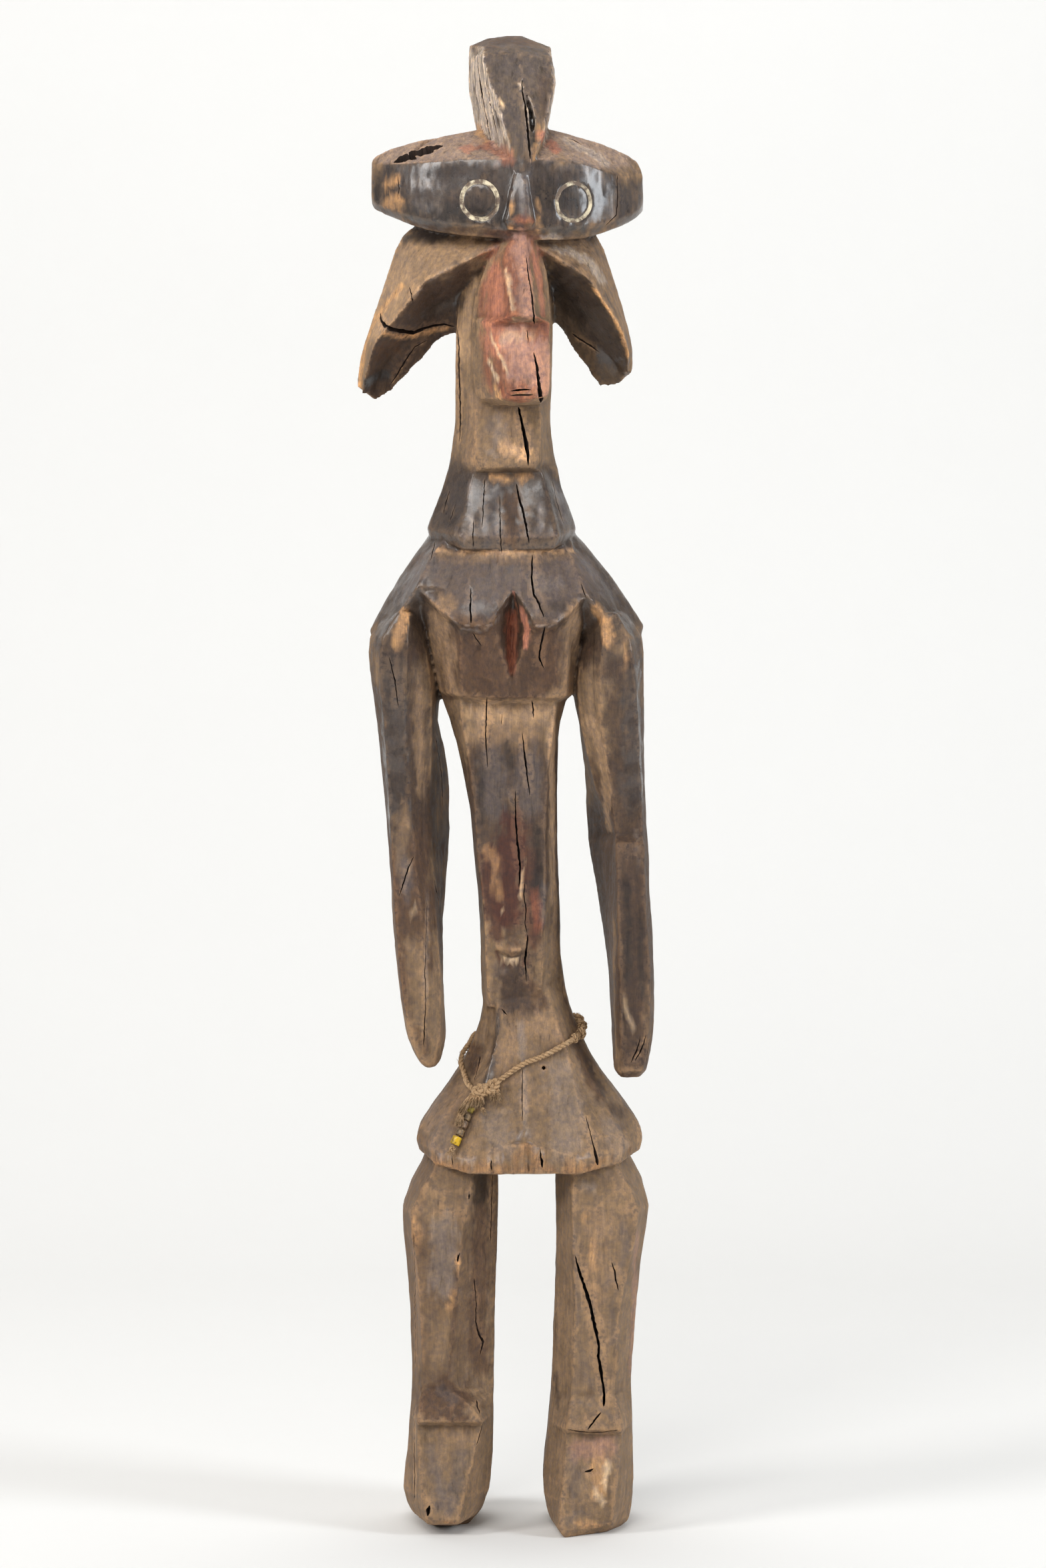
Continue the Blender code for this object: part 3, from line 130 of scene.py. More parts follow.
# Splits and small cuts: depth in mm, and (x, z, width) along each, in mm
CRACKS = [
    (9, [(10.7, 967.4, 0.46), (11.2, 959.2, 0.93), (13.4, 946.3, 1.39), (14.7, 930.8, 1.85),
     (16.4, 914.2, 0.93)]),
    (7, [(-18.5, 980.9, 0.69), (-17.6, 972.9, 1.16), (-14.9, 955.3, 1.39), (-12.3, 942, 0.93),
     (-9.6, 928.5, 0.46)]),
    (4, [(-12.6, 967.2, 0.46), (-9.6, 949.9, 0.74), (-5.6, 932.2, 0.46)]),
    (10, [(-41.4, 924.7, 2.78), (-47.6, 923.4, 8.33), (-52, 921.6, 12.03), (-60.9, 919, 11.1),
     (-69.8, 915.6, 7.4), (-74.2, 913.9, 2.31)]),
    (4, [(41.7, 930.6, 0.46), (46.1, 928.8, 1.11), (50.5, 926, 0.46)]),
    (4, [(73.9, 905.6, 0.46), (74.3, 891, 0.93), (73.5, 879.2, 0.93), (66.3, 871.9, 0.46)]),
    (3, [(-71.5, 905.6, 0.46), (-70.5, 896.7, 0.74), (-71.5, 888.9, 0.46)]),
    (6, [(-55.5, 871, 0.69), (-55.7, 867.7, 1.39), (-56.9, 863, 1.39), (-58.5, 854.6, 1.11),
     (-58.1, 851.8, 0.46)]),
    (4, [(-64.1, 832, 0.46), (-62.2, 826.3, 0.93), (-61.4, 821.2, 0.46)]),
    (9, [(-83.9, 816.3, 0.69), (-83.2, 810.6, 1.85), (-79.8, 806.2, 2.78), (-75.4, 804, 3.24),
     (-69.4, 803.4, 3.24), (-61.6, 802.6, 2.78), (-54.5, 805.8, 2.31), (-48.3, 807.7, 1.85),
     (-41.2, 808.8, 1.39), (-34.1, 807.1, 0.46)]),
    (5, [(-52.8, 798.1, 0.46), (-60.9, 793.5, 0.93), (-67.2, 784.7, 1.2), (-72.6, 775.8, 1.2),
     (-77.6, 768.3, 0.46)]),
    (5, [(29.3, 813.7, 0.46), (33.5, 812.5, 1.11), (42, 804.9, 1.39)]),
    (6, [(44.7, 802.6, 0.93), (50.1, 798.5, 1.67), (56.8, 794.4, 1.39), (62.6, 789.9, 0.46)]),
    (7, [(13.4, 850.9, 0.46), (15.1, 838.9, 0.93), (17.3, 825.7, 1.39), (18.6, 813.3, 1.85),
     (19.1, 805.9, 1.39)]),
    (3, [(14.2, 801.9, 0.69), (14.7, 797.9, 0.69), (15.1, 794, 0.46)]),
    (9, [(18.6, 787.4, 0.69), (20.8, 777.7, 1.67), (22.1, 766.7, 2.31), (23.5, 754.9, 3.01)]),
    (4.5, [(3.3, 761.8, 0.69), (7.7, 762.3, 1.39), (12.5, 762.8, 1.39), (16.9, 762.8, 0.69)]),
    (4.5, [(3.3, 758.8, 0.69), (7.7, 759.2, 1.39), (13.4, 759.2, 1.39), (18.2, 759.3, 0.69)]),
    (8, [(-32.5, 806.3, 0.46), (-31.1, 792.9, 1.39), (-31.1, 775.1, 1.67), (-30.3, 757.3, 1.67),
     (-30.2, 739.5, 1.39), (-30.7, 729.7, 0.46)]),
    (10, [(8.5, 752.3, 1.39), (11.2, 739.9, 2.31), (13.4, 730.1, 2.78), (14.7, 720.8, 2.08),
     (15.1, 713.3, 0.93)]),
    (4, [(-13.7, 704.6, 0.46), (-14.5, 692.6, 0.74), (-15.4, 672.6, 0.46)]),
    (4, [(-21.1, 677.1, 0.46), (-21.5, 668.2, 0.74), (-21.5, 659.4, 0.46)]),
    (4, [(-3.9, 692.6, 0.46), (-3.4, 668.2, 0.83), (-2.5, 655, 0.46)]),
    (6, [(7.2, 701.5, 0.69), (8.9, 692.6, 1.39), (12, 681.5, 1.67), (13.8, 672.6, 1.39),
     (15.6, 661.6, 0.69)]),
    (4, [(31.2, 703.9, 0.46), (34.2, 688.3, 0.83), (38.7, 674.9, 0.46)]),
    (4, [(-37.4, 697.2, 0.46), (-39.6, 689.7, 0.93), (-41.3, 681.7, 0.46)]),
    (3, [(-33.2, 688.2, 0.46), (-35, 682.5, 0.74), (-36.7, 677.1, 0.46)]),
    (8, [(17.8, 654.1, 0.93), (17.3, 637.3, 1.39), (18.7, 628.5, 1.57), (22.2, 621.9, 1.39),
     (25.3, 613.2, 0.93)]),
    (7, [(26.1, 606.6, 0.93), (24, 597.7, 1.39), (22.2, 586.6, 1.39), (25.3, 579.5, 0.69)]),
    (6, [(-22.8, 632.9, 0.46), (-23.2, 617.6, 1.39), (-22.7, 609.2, 1.39)]),
    (4, [(-21.9, 603, 0.74), (-19.7, 599.4, 0.74), (-15.8, 594.1, 0.46)]),
    (4, [(-47.2, 663, 0.74), (-48.3, 656.8, 0.93), (-49.9, 650.6, 0.46)]),
    (3, [(50.1, 635.1, 0.74), (53.2, 625.8, 0.46)]),
    (5, [(-77.3, 586.5, 0.46), (-75.1, 578.5, 0.74), (-73.4, 571, 0.83), (-71.2, 553.2, 0.46)]),
    (5, [(-12.3, 559.9, 0.74), (-13.3, 535.1, 0.93), (-12, 512.8, 0.46)]),
    (4, [(17.4, 557.5, 0.93), (18.3, 551.1, 1.11), (18.7, 545.8, 0.46)]),
    (5, [(11.2, 536, 0.46), (12.5, 521.7, 1.2), (14.3, 508.3, 1.2), (16, 494.1, 0.46)]),
    (3, [(-2.6, 548.4, 0.46), (-2.6, 541.3, 0.46)]),
    (7, [(6.3, 497.2, 0.46), (6.7, 477.2, 1.2), (8, 461.7, 1.57), (9.8, 446.2, 1.39), (8.9, 432.9, 0.69)]),
    (4, [(12.9, 436.4, 0.46), (12, 428.4, 0.74), (13.8, 418.7, 0.74), (12.9, 408.4, 0.74),
     (14.3, 402.6, 0.65)]),
    (8, [(14.7, 401.2, 0.74), (14.3, 393.7, 1.57), (12.9, 385.5, 1.39), (13.4, 378.2, 0.93),
     (13.8, 369.1, 0.46)]),
    (3, [(-2.7, 351.2, 0.56), (-0.4, 348.6, 0.93), (0.9, 347.3, 0.56)]),
    (6, [(-48.4, 541.1, 0.46), (-45.4, 520.5, 0.83), (-42.9, 502.2, 1.11), (-42.4, 481, 0.46)]),
    (4, [(-61.4, 453.1, 0.46), (-64.9, 446.1, 0.83), (-68.5, 434.6, 0.83), (-70.7, 427.6, 0.46)]),
    (3, [(-52.6, 423.5, 0.46), (-52.9, 401.7, 0.56), (-53.7, 379.8, 0.65), (-53.3, 357.5, 0.65),
     (-54.2, 337.4, 0.83), (-54.7, 327, 0.46)]),
    (5, [(-47.9, 437, 0.65), (-46.6, 429.2, 1.39), (-44.9, 421.1, 0.46)]),
    (2.5, [(93.4, 334.3, 0.46), (90.8, 325.2, 1.11), (86.4, 317.1, 0.65)]),
    (2.5, [(89.9, 333.8, 0.46), (87.7, 324.3, 1.11), (83.7, 316.2, 0.65)]),
    (2, [(96.7, 334.5, 0.46), (94.9, 323.5, 0.83), (93.6, 312.9, 0.56)]),
    (3, [(-17.1, 318.1, 1.39), (-18.4, 312.1, 0.74), (-21, 302.9, 0.56)]),
    (9, [(53.4, 281.3, 0.46), (56, 271.4, 0.74), (58.2, 262.4, 1.11), (59.9, 255.9, 1.85),
     (61.3, 249.1, 2.31)]),
    (6, [(23.1, 260.7, 0.46), (23.5, 255.4, 1.11), (24, 252.7, 1.85), (24.4, 248.3, 1.85)]),
    (5, [(-9.6, 253.5, 0.56), (-9.6, 250.4, 1.02), (-9.2, 246.4, 0.93)]),
    (3, [(-35.4, 254.8, 0.46), (-35.4, 249, 0.74)]),
    (2, [(11.2, 312, 0.46), (11.2, 295.6, 0.65), (11.2, 278.5, 0.46)]),
    (4, [(-30.7, 189.4, 0.65), (-31.5, 186.7, 1.57), (-32, 183, 0.65)]),
    (4, [(-61.3, 202.2, 0.46), (-60.6, 178.4, 0.74), (-60.9, 150.1, 0.74), (-60.6, 108.6, 0.46)]),
    (3, [(-21, 170.5, 0.93), (-19.7, 154.7, 0.74), (-20.2, 141, 0.93), (-18, 131.6, 1.39),
     (-15.3, 126.2, 1.57), (-17.1, 117.8, 0.65)]),
    (4, [(-9, 239.3, 0.65), (-9.4, 221.4, 1.11), (-10.3, 194.2, 0.65)]),
    (5, [(-24.4, 229.4, 0.93), (-24.4, 225.8, 1.85)]),
    (6, [(-61.4, 82.8, 0.46), (-61.3, 60.8, 0.93), (-60.8, 39, 1.2), (-61.4, 20.2, 0.93)]),
    (6, [(-19.7, 89.1, 0.74), (-18.8, 85.1, 1.85), (-17.4, 81.2, 0.93)]),
    (4, [(-14.3, 77.6, 0.65), (-16.1, 71.1, 0.93), (-18.7, 62.6, 0.93), (-19.6, 60.1, 0.46)]),
    (7, [(-50.7, 21.4, 1.11), (-51.6, 18.4, 2.78), (-52, 14.5, 1.85)]),
    (12, [(46.3, 187.7, 0.93), (49, 177.3, 1.67), (52.1, 168.2, 2.13), (55.7, 156.8, 2.31),
     (58.8, 143.2, 2.31), (61.1, 133.2, 2.04), (62.4, 126, 1.57), (62, 119.7, 1.85), (63.3, 111.5, 2.13),
     (64.7, 102.5, 1.85), (66, 93.6, 1.67), (65.5, 86.2, 1.39)]),
    (5, [(63.7, 82.5, 0.93), (60.1, 78.7, 1.2), (57, 74.5, 1.2), (54.8, 71.5, 0.46)]),
    (5, [(70.8, 183.2, 0.56), (72.6, 177.3, 1.2), (73.5, 171.4, 1.11), (75.3, 164.1, 0.56)]),
    (3, [(41.4, 71.9, 0.65), (47.7, 70.3, 1.11), (56.6, 69.2, 1.11), (65.5, 69.7, 1.11), (74.8, 71.5, 0.65)]),
    (3, [(52.6, 42.9, 0.93), (56.1, 43.7, 1.85), (58.8, 45, 0.65)]),
]

# Brushed tones, among them painted highlights, sheen and shadow where marked: tone, strength, reach in mm, and
# (x, z) along each, in mm
STROKES = [
    ("ash", 0.85, 6, [(-19.8, 976.2), (-15.8, 959.7), (-10.9, 941.7), (-4.3, 925.6)]),
    ("slate_and_sheen", 0.19, 7.4, [(1, 978), (18.6, 978.1)]),
    ("smoke", 0.8, 8.3, [(5.5, 953), (7.7, 939.7), (12, 922)]),
    ("umber", 0.4, 5.6, [(25.2, 966.7), (27.4, 944.3), (28.4, 931.1)]),
    ("painted_sheen", 0.39, 2.3, [(29.2, 955.5), (28.3, 946.5)]),
    ("pale", 0.8, 1.2, [(-3.8, 953.1), (-0.7, 945.9)]),
    ("brick", 0.62, 5.6, [(-25.4, 922.6), (-15.8, 926.6), (-6.9, 921.4), (2.8, 915.3)]),
    ("ochre", 0.62, 3.7, [(-18.6, 938.3), (-14.9, 927.6)]),
    ("ochre", 0.62, 1.4, [(22.1, 937.6), (20.4, 924.3), (18.2, 914.2)]),
    ("soot", 0.9, 3.2, [(16, 946.4), (18.6, 935.5), (17.3, 922.9)]),
    ("soot", 0.6, 7.4, [(-60.7, 880.5), (-25.3, 876.4), (1.1, 878.2)]),
    ("soot", 0.65, 9.2, [(27.4, 891.5), (49.4, 889.8), (64.9, 892.7)]),
    ("salmon", 0.8, 5.6, [(-65.4, 917.4), (-47.7, 927.5), (-30, 931.5), (-20.2, 927.6)]),
    ("brick", 0.85, 4.2, [(23.9, 929.6), (30.1, 926.6), (33.6, 921.6)]),
    ("ash", 0.45, 4.6, [(40.8, 928), (54, 921.7), (65.1, 914.6)]),
    ("slate_and_sheen", 0.45, 1.9, [(-60.7, 907.7), (-42.9, 912.6), (-25.3, 913.6), (-4.2, 911.2)]),
    ("slate_and_sheen", 0.45, 1.9, [(25.2, 912.1), (40.6, 913.3), (58.3, 910)]),
    # Soft pale patches on the visor's front: painted highlights
    ("painted_sheen", 0.28, 3.2, [(-60.7, 901.5), (-40.7, 896.7)]),
    ("painted_sheen", 0.25, 3.2, [(-57.1, 885.6), (-43.8, 882.4)]),
    ("painted_sheen", 0.3, 2.8, [(35.3, 909.2), (53.8, 908)]),
    ("painted_sheen", 0.25, 3.2, [(61.8, 904.9), (69.4, 892.9), (71.7, 879.1)]),
    ("ochre", 0.62, 4.2, [(-76.9, 900.7), (-72.3, 901.3)]),
    ("ochre", 0.66, 4.6, [(-78.8, 888.2), (-70.6, 887.1)]),
    ("soot", 0.8, 3.7, [(-85.1, 902.4), (-86.1, 890.2)]),
    ("ochre", 0.66, 1.9, [(4.6, 885.9), (3.7, 868.7)]),
    ("slate_and_sheen", 0.68, 5.1, [(13.4, 900.9), (12.9, 878.9)]),
    ("painted_sheen", 0.33, 1.9, [(11.6, 897.8), (11.2, 880.2)]),
    ("ochre", 0.53, 1.9, [(22.1, 886.3), (21.3, 868.4)]),
    ("oxide", 0.7, 2.8, [(9, 873.7), (17.7, 873.7)]),
    ("umber", 0.5, 2.3, [(-61.7, 873.4), (-29.7, 868), (-5.5, 866.5)]),
    ("soot", 0.7, 3.2, [(25.2, 867.6), (53.8, 871.2)]),
    ("sand", 0.44, 9.2, [(-25.6, 864.2), (-45.5, 853.1), (-64.6, 832.9)]),
    ("slate_and_sheen", 0.22, 4.6, [(-71.4, 853.4), (-56.6, 846.1)]),
    ("slate_and_sheen", 0.38, 4.6, [(-78.5, 828.7)]),
    ("bark", 0.7, 10.2, [(-30, 840.5), (-45.9, 821.9), (-68.1, 801.8)]),
    ("umber", 0.9, 6.5, [(-83.7, 788.5), (-74.9, 793.2)]),
    ("patina", 0.8, 5.6, [(-52.6, 815.3), (-30.2, 824)]),
    ("ochre", 0.84, 3.2, [(-69.2, 832.4), (-80.6, 820.6), (-87.5, 811.1), (-93, 797.9), (-96.1, 784.5),
     (-97.4, 767.5)]),
    ("painted_sheen", 0.28, 1.4, [(-5.6, 858.4), (-25.4, 850.5), (-43.1, 840.9), (-60.9, 824.6)]),
    ("ochre", 0.7, 1.9, [(-79.8, 801.7), (-70.4, 799.2), (-52.8, 802.9), (-39.4, 806.2)]),
    ("soot", 0.85, 4.6, [(-91.5, 770), (-80.6, 775.7)]),
    ("ash", 0.55, 5.6, [(29.6, 862.4), (49.7, 852.2), (64, 837.7)]),
    ("slate_and_sheen", 0.15, 3.7, [(54.3, 864.1), (67.8, 846.8)]),
    ("patina", 0.95, 13.9, [(38.6, 836.6), (56.5, 817.1), (71.4, 790.9)]),
    ("soot", 0.7, 7.4, [(36.5, 828.6), (50, 811)]),
    ("ochre", 0.75, 1.6, [(59.8, 829.8), (71.9, 812.2), (78.7, 799.2), (81.9, 786.6)]),
    ("brick", 0.9, 10.2, [(-6.9, 837.4), (-6.9, 813.1), (-7.7, 791.1)]),
    ("khaki", 0.85, 4.2, [(-19.8, 846.8), (-20.3, 822.9), (-20.7, 796.5), (-19.4, 769.9)]),
    ("rose", 0.85, 6.9, [(10.3, 859.4), (11.6, 845.6)]),
    ("rose", 0.6, 6.5, [(13.4, 834.5), (14.2, 812.3)]),
    ("brick", 0.75, 3.7, [(19.1, 850.6), (23, 835.2), (24.4, 813.1)]),
    ("painted_sheen", 0.19, 5.6, [(12, 830), (14.2, 813.2)]),
    ("pale", 0.6, 1.2, [(0.2, 842.5), (2.4, 829.2), (4.6, 815.9), (5, 809.1)]),
    ("slate_and_sheen", 0.38, 1.4, [(11.2, 842.5), (9, 832.3), (6.8, 821.2)]),
    ("oxide", 0.8, 4.2, [(1.1, 809.1), (-5.5, 805.9)]),
    ("rose", 0.95, 12, [(7.6, 794.4), (11.2, 773.2)]),
    ("pale", 0.25, 4.6, [(0.2, 797.5), (16.4, 798.4)]),
    ("rose", 0.8, 7.4, [(23.9, 790.9), (25.2, 764.5)]),
    ("pale", 0.7, 1.2, [(-10, 799.9), (-5.5, 788.8), (-1.1, 779.9), (1.9, 773.3)]),
    ("patina", 0.7, 2.3, [(5.5, 768.4), (14.2, 767.1)]),
    ("oxide", 0.7, 3.7, [(-1.1, 760.3), (12, 755.1)]),
    ("pale", 0.9, 1.6, [(-10.9, 782.6), (-8.2, 775.9), (-5.1, 769.2)]),
    ("ochre", 0.79, 2.3, [(-7.3, 766.2), (-4.2, 758.3)]),
    ("tan", 0.7, 6.5, [(-22.1, 756.9), (-23, 717)]),
    ("tan", 0.7, 9.2, [(1, 752.3), (3.2, 732.4)]),
    ("painted_sheen", 0.28, 5.6, [(-5.7, 743.5), (-4.3, 730.1)]),
    ("peach", 0.84, 5.6, [(-0.3, 724.8), (12.5, 721.2)]),
    ("painted_sheen", 0.33, 3.2, [(-10.1, 722.1), (-7, 719.4)]),
    ("ochre", 0.7, 2.8, [(-8.8, 706.3), (3.2, 705), (16.5, 706.8)]),
    ("slate_and_sheen", 0.34, 8.3, [(-10.1, 694.8), (-8.7, 668.2)]),
    ("umber", 0.6, 6.5, [(3.2, 690.4), (4.5, 663.8)]),
    # Thin pale lines on the collar's edges: painted highlights
    ("painted_sheen", 0.39, 1.9, [(-23.9, 701.9), (-22.9, 672.6)]),
    ("painted_sheen", 0.33, 2.3, [(-33.5, 668.2), (-26.4, 666.4)]),
    ("painted_sheen", 0.5, 2.3, [(22.2, 688.1), (24, 672.6)]),
    # A blue-grey on the collar's right facet: painted sheen
    ("slate_and_sheen", 0.49, 4.6, [(34.3, 697.2), (38.7, 677.2)]),
    ("patina", 0.7, 4.6, [(-30.1, 699.4), (-34.5, 677.1)]),
    ("tan", 0.5, 4.2, [(-43.3, 654.1), (-25.6, 652.3), (1, 651.9), (27.5, 652.8), (43.1, 654.1)]),
    ("sand", 0.7, 1.9, [(-45.6, 656.8), (-25.6, 655.4), (1, 655), (27.5, 655.9), (44.5, 656.8)]),
    ("peach", 0.7, 1.4, [(-45.6, 657.7), (-25.6, 656.3), (1, 655.9), (27.5, 656.8), (44.5, 657.7)]),
    # Blue-grey on the shoulder planes and pale grey on the chest's top: painted sheen
    ("slate_and_sheen", 0.34, 11.1, [(-54, 646.1), (-67.4, 629.3)]),
    ("slate_and_sheen", 0.3, 8.3, [(54.3, 646.1), (69.9, 628.3)]),
    ("painted_sheen", 0.22, 6.5, [(18.7, 636.5), (34.1, 635.1)]),
    ("patina", 0.5, 4.6, [(-25.4, 618.9), (-7.8, 618.9)]),
    ("patina", 0.5, 4.2, [(25.3, 617.6), (38.5, 621.9)]),
    # Thin pale lines along the breast edges: painted highlights
    ("painted_sheen", 0.5, 0.7, [(-55.6, 631.1), (-47.6, 624.5), (-39.5, 616.7), (-32, 609.2), (-24.1, 607.5),
     (-10, 607.9), (-4.3, 612.7), (1, 621.5), (5.9, 626.7)]),
    ("painted_sheen", 0.5, 0.8, [(9.8, 617), (14.2, 610.5), (20.8, 607.5), (29.7, 607), (35.4, 612.7),
     (40.7, 619.3), (46, 623.7), (52.3, 625.8)]),
    ("painted_sheen", 0.5, 1.3, [(-29, 605.6), (-20.1, 603.9), (-11.8, 605.2)]),
    ("oxide", 0.9, 6, [(4.5, 612.9), (3.6, 597.4), (4.5, 584.1)]),
    ("brick", 0.9, 3.2, [(10.7, 616.2), (14.2, 606.5), (13.4, 595.4)]),
    ("brick", 0.5, 3.2, [(5.8, 610.7), (5.4, 593), (4.5, 577.5)]),
    ("deep", 0.6, 0.6, [(5, 612.9), (4.5, 595.1), (4.1, 577.5)]),
    ("brick", 0.8, 1.1, [(5.4, 629.4), (6.3, 624.1), (7.6, 617.4)]),
    ("tan", 0.85, 9.2, [(-41.4, 621.9), (-43.4, 597.4), (-40, 566.1)]),
    ("tan", 0.85, 6.5, [(45.1, 618.8), (44.4, 597.4), (42.7, 568.4)]),
    ("umber", 0.9, 9.2, [(-16.6, 595.5), (-14.1, 568.8)]),
    ("umber", 0.8, 7.4, [(28.4, 597.7), (30.2, 571)]),
    ("ochre", 0.7, 4.2, [(-67.2, 615.2), (-70.7, 604.2), (-72.4, 595.3)]),
    ("ochre", 0.66, 4.6, [(60.3, 617.4), (65.6, 608.6), (69.1, 597.6)]),
    ("ochre", 0.44, 1.4, [(79.3, 595.3), (80.7, 564.3)]),
    ("sand", 0.85, 10.2, [(-16.8, 550.7), (3.2, 548.4), (23.2, 550.7)]),
    ("tan", 0.7, 7.4, [(-19.1, 535.1), (18.7, 537.3)]),
    ("slate_and_sheen", 0.45, 11.1, [(-10.2, 517.3), (-8, 486.1)]),
    ("slate_and_sheen", 0.45, 10.2, [(14.3, 517.3), (15.2, 486.1)]),
    ("soot", 0.5, 3.2, [(0.9, 530.6), (3.1, 512.8)]),
    ("soot", 0.5, 2.8, [(-16, 512.8), (-16, 477.2)]),
    ("umber", 0.6, 2.8, [(-22.6, 526.2), (-22, 467.2)]),
    ("sand", 0.79, 4.6, [(31.2, 544), (31.2, 499), (31.3, 454.2), (31.7, 423)]),
    ("wine", 0.9, 11.1, [(5.4, 475), (3.1, 446.2), (2.7, 415.1)]),
    ("wine", 0.75, 7.4, [(-10.2, 455), (-10.2, 428.4), (-5.8, 401.7)]),
    ("ochre", 0.34, 3.2, [(-12.4, 457.3), (-4.4, 448.4)]),
    ("wine", 0.6, 6.5, [(16.5, 455), (18.7, 424), (18.7, 397.2)]),
    ("soot", 0.6, 3.7, [(22.3, 475), (21.8, 435.1)]),
    ("soot", 0.5, 3.2, [(18.7, 441.7), (21.4, 430.7)]),
    ("ochre", 0.32, 3.7, [(-8, 444), (-4.4, 426.2)]),
    ("oxide", 0.6, 3.7, [(20, 428.4), (21.4, 406.2)]),
    ("slate_and_sheen", 0.41, 2.8, [(25.8, 432.9), (24.9, 410.6)]),
    ("pale", 0.7, 0.7, [(-1.3, 420.9), (-2.2, 408.9), (-2.2, 401.7)]),
    ("pale", 0.5, 0.6, [(10.7, 440.9), (9.8, 426.2), (12, 415.1)]),
    ("umber", 0.7, 5.6, [(3.1, 401.7), (5.4, 390.9)]),
    ("pale", 0.9, 1.9, [(-1.8, 385.5), (5.4, 383.6), (12.5, 385.9)]),
    ("tan", 0.8, 1.9, [(4, 392.2), (8.9, 391.7)]),
    ("wine", 0.8, 2.3, [(-5.8, 389.1), (-2.7, 382.3), (5.4, 380.9), (13.4, 382.3)]),
    ("slate_and_sheen", 0.52, 5.6, [(-4.4, 376.8), (5.4, 375.4)]),
    ("tan", 0.75, 3.7, [(33.1, 427.3), (32.2, 400.5), (33.5, 377.8)]),
    ("khaki", 0.8, 5.6, [(-16.1, 400.2), (-15.3, 373.3), (-12.6, 355.6)]),
    ("bark", 0.95, 13.9, [(5.4, 370), (7.6, 353)]),
    ("umber", 0.7, 5.6, [(18.7, 365.4), (24.1, 354.2)]),
    ("tan", 0.6, 3.2, [(39, 363.8), (41.2, 354.8)]),
    ("umber", 0.6, 3.2, [(41.7, 354.8), (46.6, 339.2)]),
    ("patina", 0.8, 10.2, [(-74.2, 579.9), (-74.4, 544.3), (-73.7, 508.5), (-71.2, 468.2)]),
    ("tan", 0.7, 4.6, [(-57.7, 561.9), (-57.8, 526.1), (-56.2, 499.1)]),
    ("khaki", 0.6, 6.5, [(-70.3, 477.1), (-68.5, 446.1)]),
    ("slate_and_sheen", 0.3, 4.2, [(-70.3, 454.9), (-67.6, 432.9)]),
    ("tan", 0.64, 2.3, [(-68, 491.5), (-66.8, 473.5)]),
    ("khaki", 0.85, 8.3, [(-59, 393.1), (-57.7, 362.1), (-52.5, 330.5)]),
    ("khaki", 0.7, 4.6, [(-46, 400.9), (-45.9, 356.8)]),
    ("slate_and_sheen", 0.38, 3.7, [(-65, 450.5), (-65.8, 424)]),
    ("pale", 0.35, 0.7, [(-60, 423.2), (-62.2, 414.3), (-67.5, 405.5), (-71.1, 400.6)]),
    ("pale", 0.35, 0.7, [(-64.1, 446.1), (-67.6, 436.4), (-70.7, 428.5)]),
    ("painted_sheen", 0.28, 1.9, [(-52.6, 425.7), (-52.9, 392.9), (-53.3, 357.5)]),
    ("umber", 0.6, 3.7, [(-59.1, 337.4), (-52.5, 323.7)]),
    ("tan", 0.75, 1.4, [(-75.9, 432.2), (-73.1, 392.4), (-69.6, 356.5), (-62.2, 330.7)]),
    ("sand", 0.66, 4.6, [(55.2, 544), (63.1, 526.3), (67.7, 497.1), (69.8, 471.7)]),
    ("patina", 0.8, 9.2, [(85, 575.4), (84.3, 535.4), (85.5, 490.6)]),
    ("tan", 0.4, 1.9, [(79.9, 538.9), (82.2, 529.1)]),
    ("painted_sheen", 0.28, 2.3, [(87.3, 468.1), (88.5, 448.2)]),
    ("bark", 0.7, 8.3, [(85.3, 446.4), (85.3, 402.1), (84.5, 357.6), (83.2, 326.1)]),
    ("khaki", 0.85, 2.8, [(72.6, 408), (72.2, 378.9), (72.8, 347.4), (73.7, 315.9)]),
    ("soot", 0.6, 3.2, [(80.9, 437.6), (81.8, 402.1), (80.9, 371)]),
    ("soot", 0.5, 2.8, [(89.8, 411), (90.7, 366.5)]),
    ("pale", 0.42, 1.9, [(80, 354), (83.6, 341.5)]),
    ("tan", 0.7, 1.1, [(92.5, 332.5), (89.5, 323), (85.1, 315.3)]),
    ("khaki", 0.8, 2.3, [(76.7, 310.4), (90.9, 311.1)]),
    ("tan", 0.6, 10.2, [(5.4, 339), (18.7, 336.8), (36.6, 338.6)]),
    ("tan", 0.7, 9.2, [(3.1, 330.2), (0.9, 308.4)]),
    ("tan", 0.65, 9.2, [(23.2, 339), (32.1, 330.1)]),
    ("painted_sheen", 0.41, 2.8, [(10.3, 341.7), (10.7, 325.9), (11.6, 312.9)]),
    ("painted_sheen", 0.36, 2.3, [(12, 308.5), (12.5, 287.1), (14.3, 270)]),
    ("patina", 0.85, 3.7, [(-5.8, 343.1), (-7.6, 325.7), (-11.1, 308.2), (-13.3, 301.7)]),
    ("umber", 0.8, 5.1, [(-20.2, 323.6), (-21.5, 310.7)]),
    ("tan", 0.6, 2.3, [(-12.1, 355.8), (-11.2, 346.3)]),
    ("painted_sheen", 0.28, 12, [(36.5, 308.3), (40.9, 286.8), (40.8, 265.5)]),
    ("painted_sheen", 0.25, 11.1, [(-7.9, 278.3), (-3.5, 265.6)]),
    ("painted_sheen", 0.22, 12, [(-48.5, 283.5), (-43.5, 264.2)]),
    ("tan", 0.4, 4.2, [(25.4, 294.3)]),
    ("tan", 0.4, 2.8, [(8, 293.8)]),
    ("tan", 0.55, 6.5, [(-30.4, 293.9), (-52.8, 270.9)]),
    ("painted_sheen", 0.22, 8.3, [(72.1, 272.6), (76.5, 259.7)]),
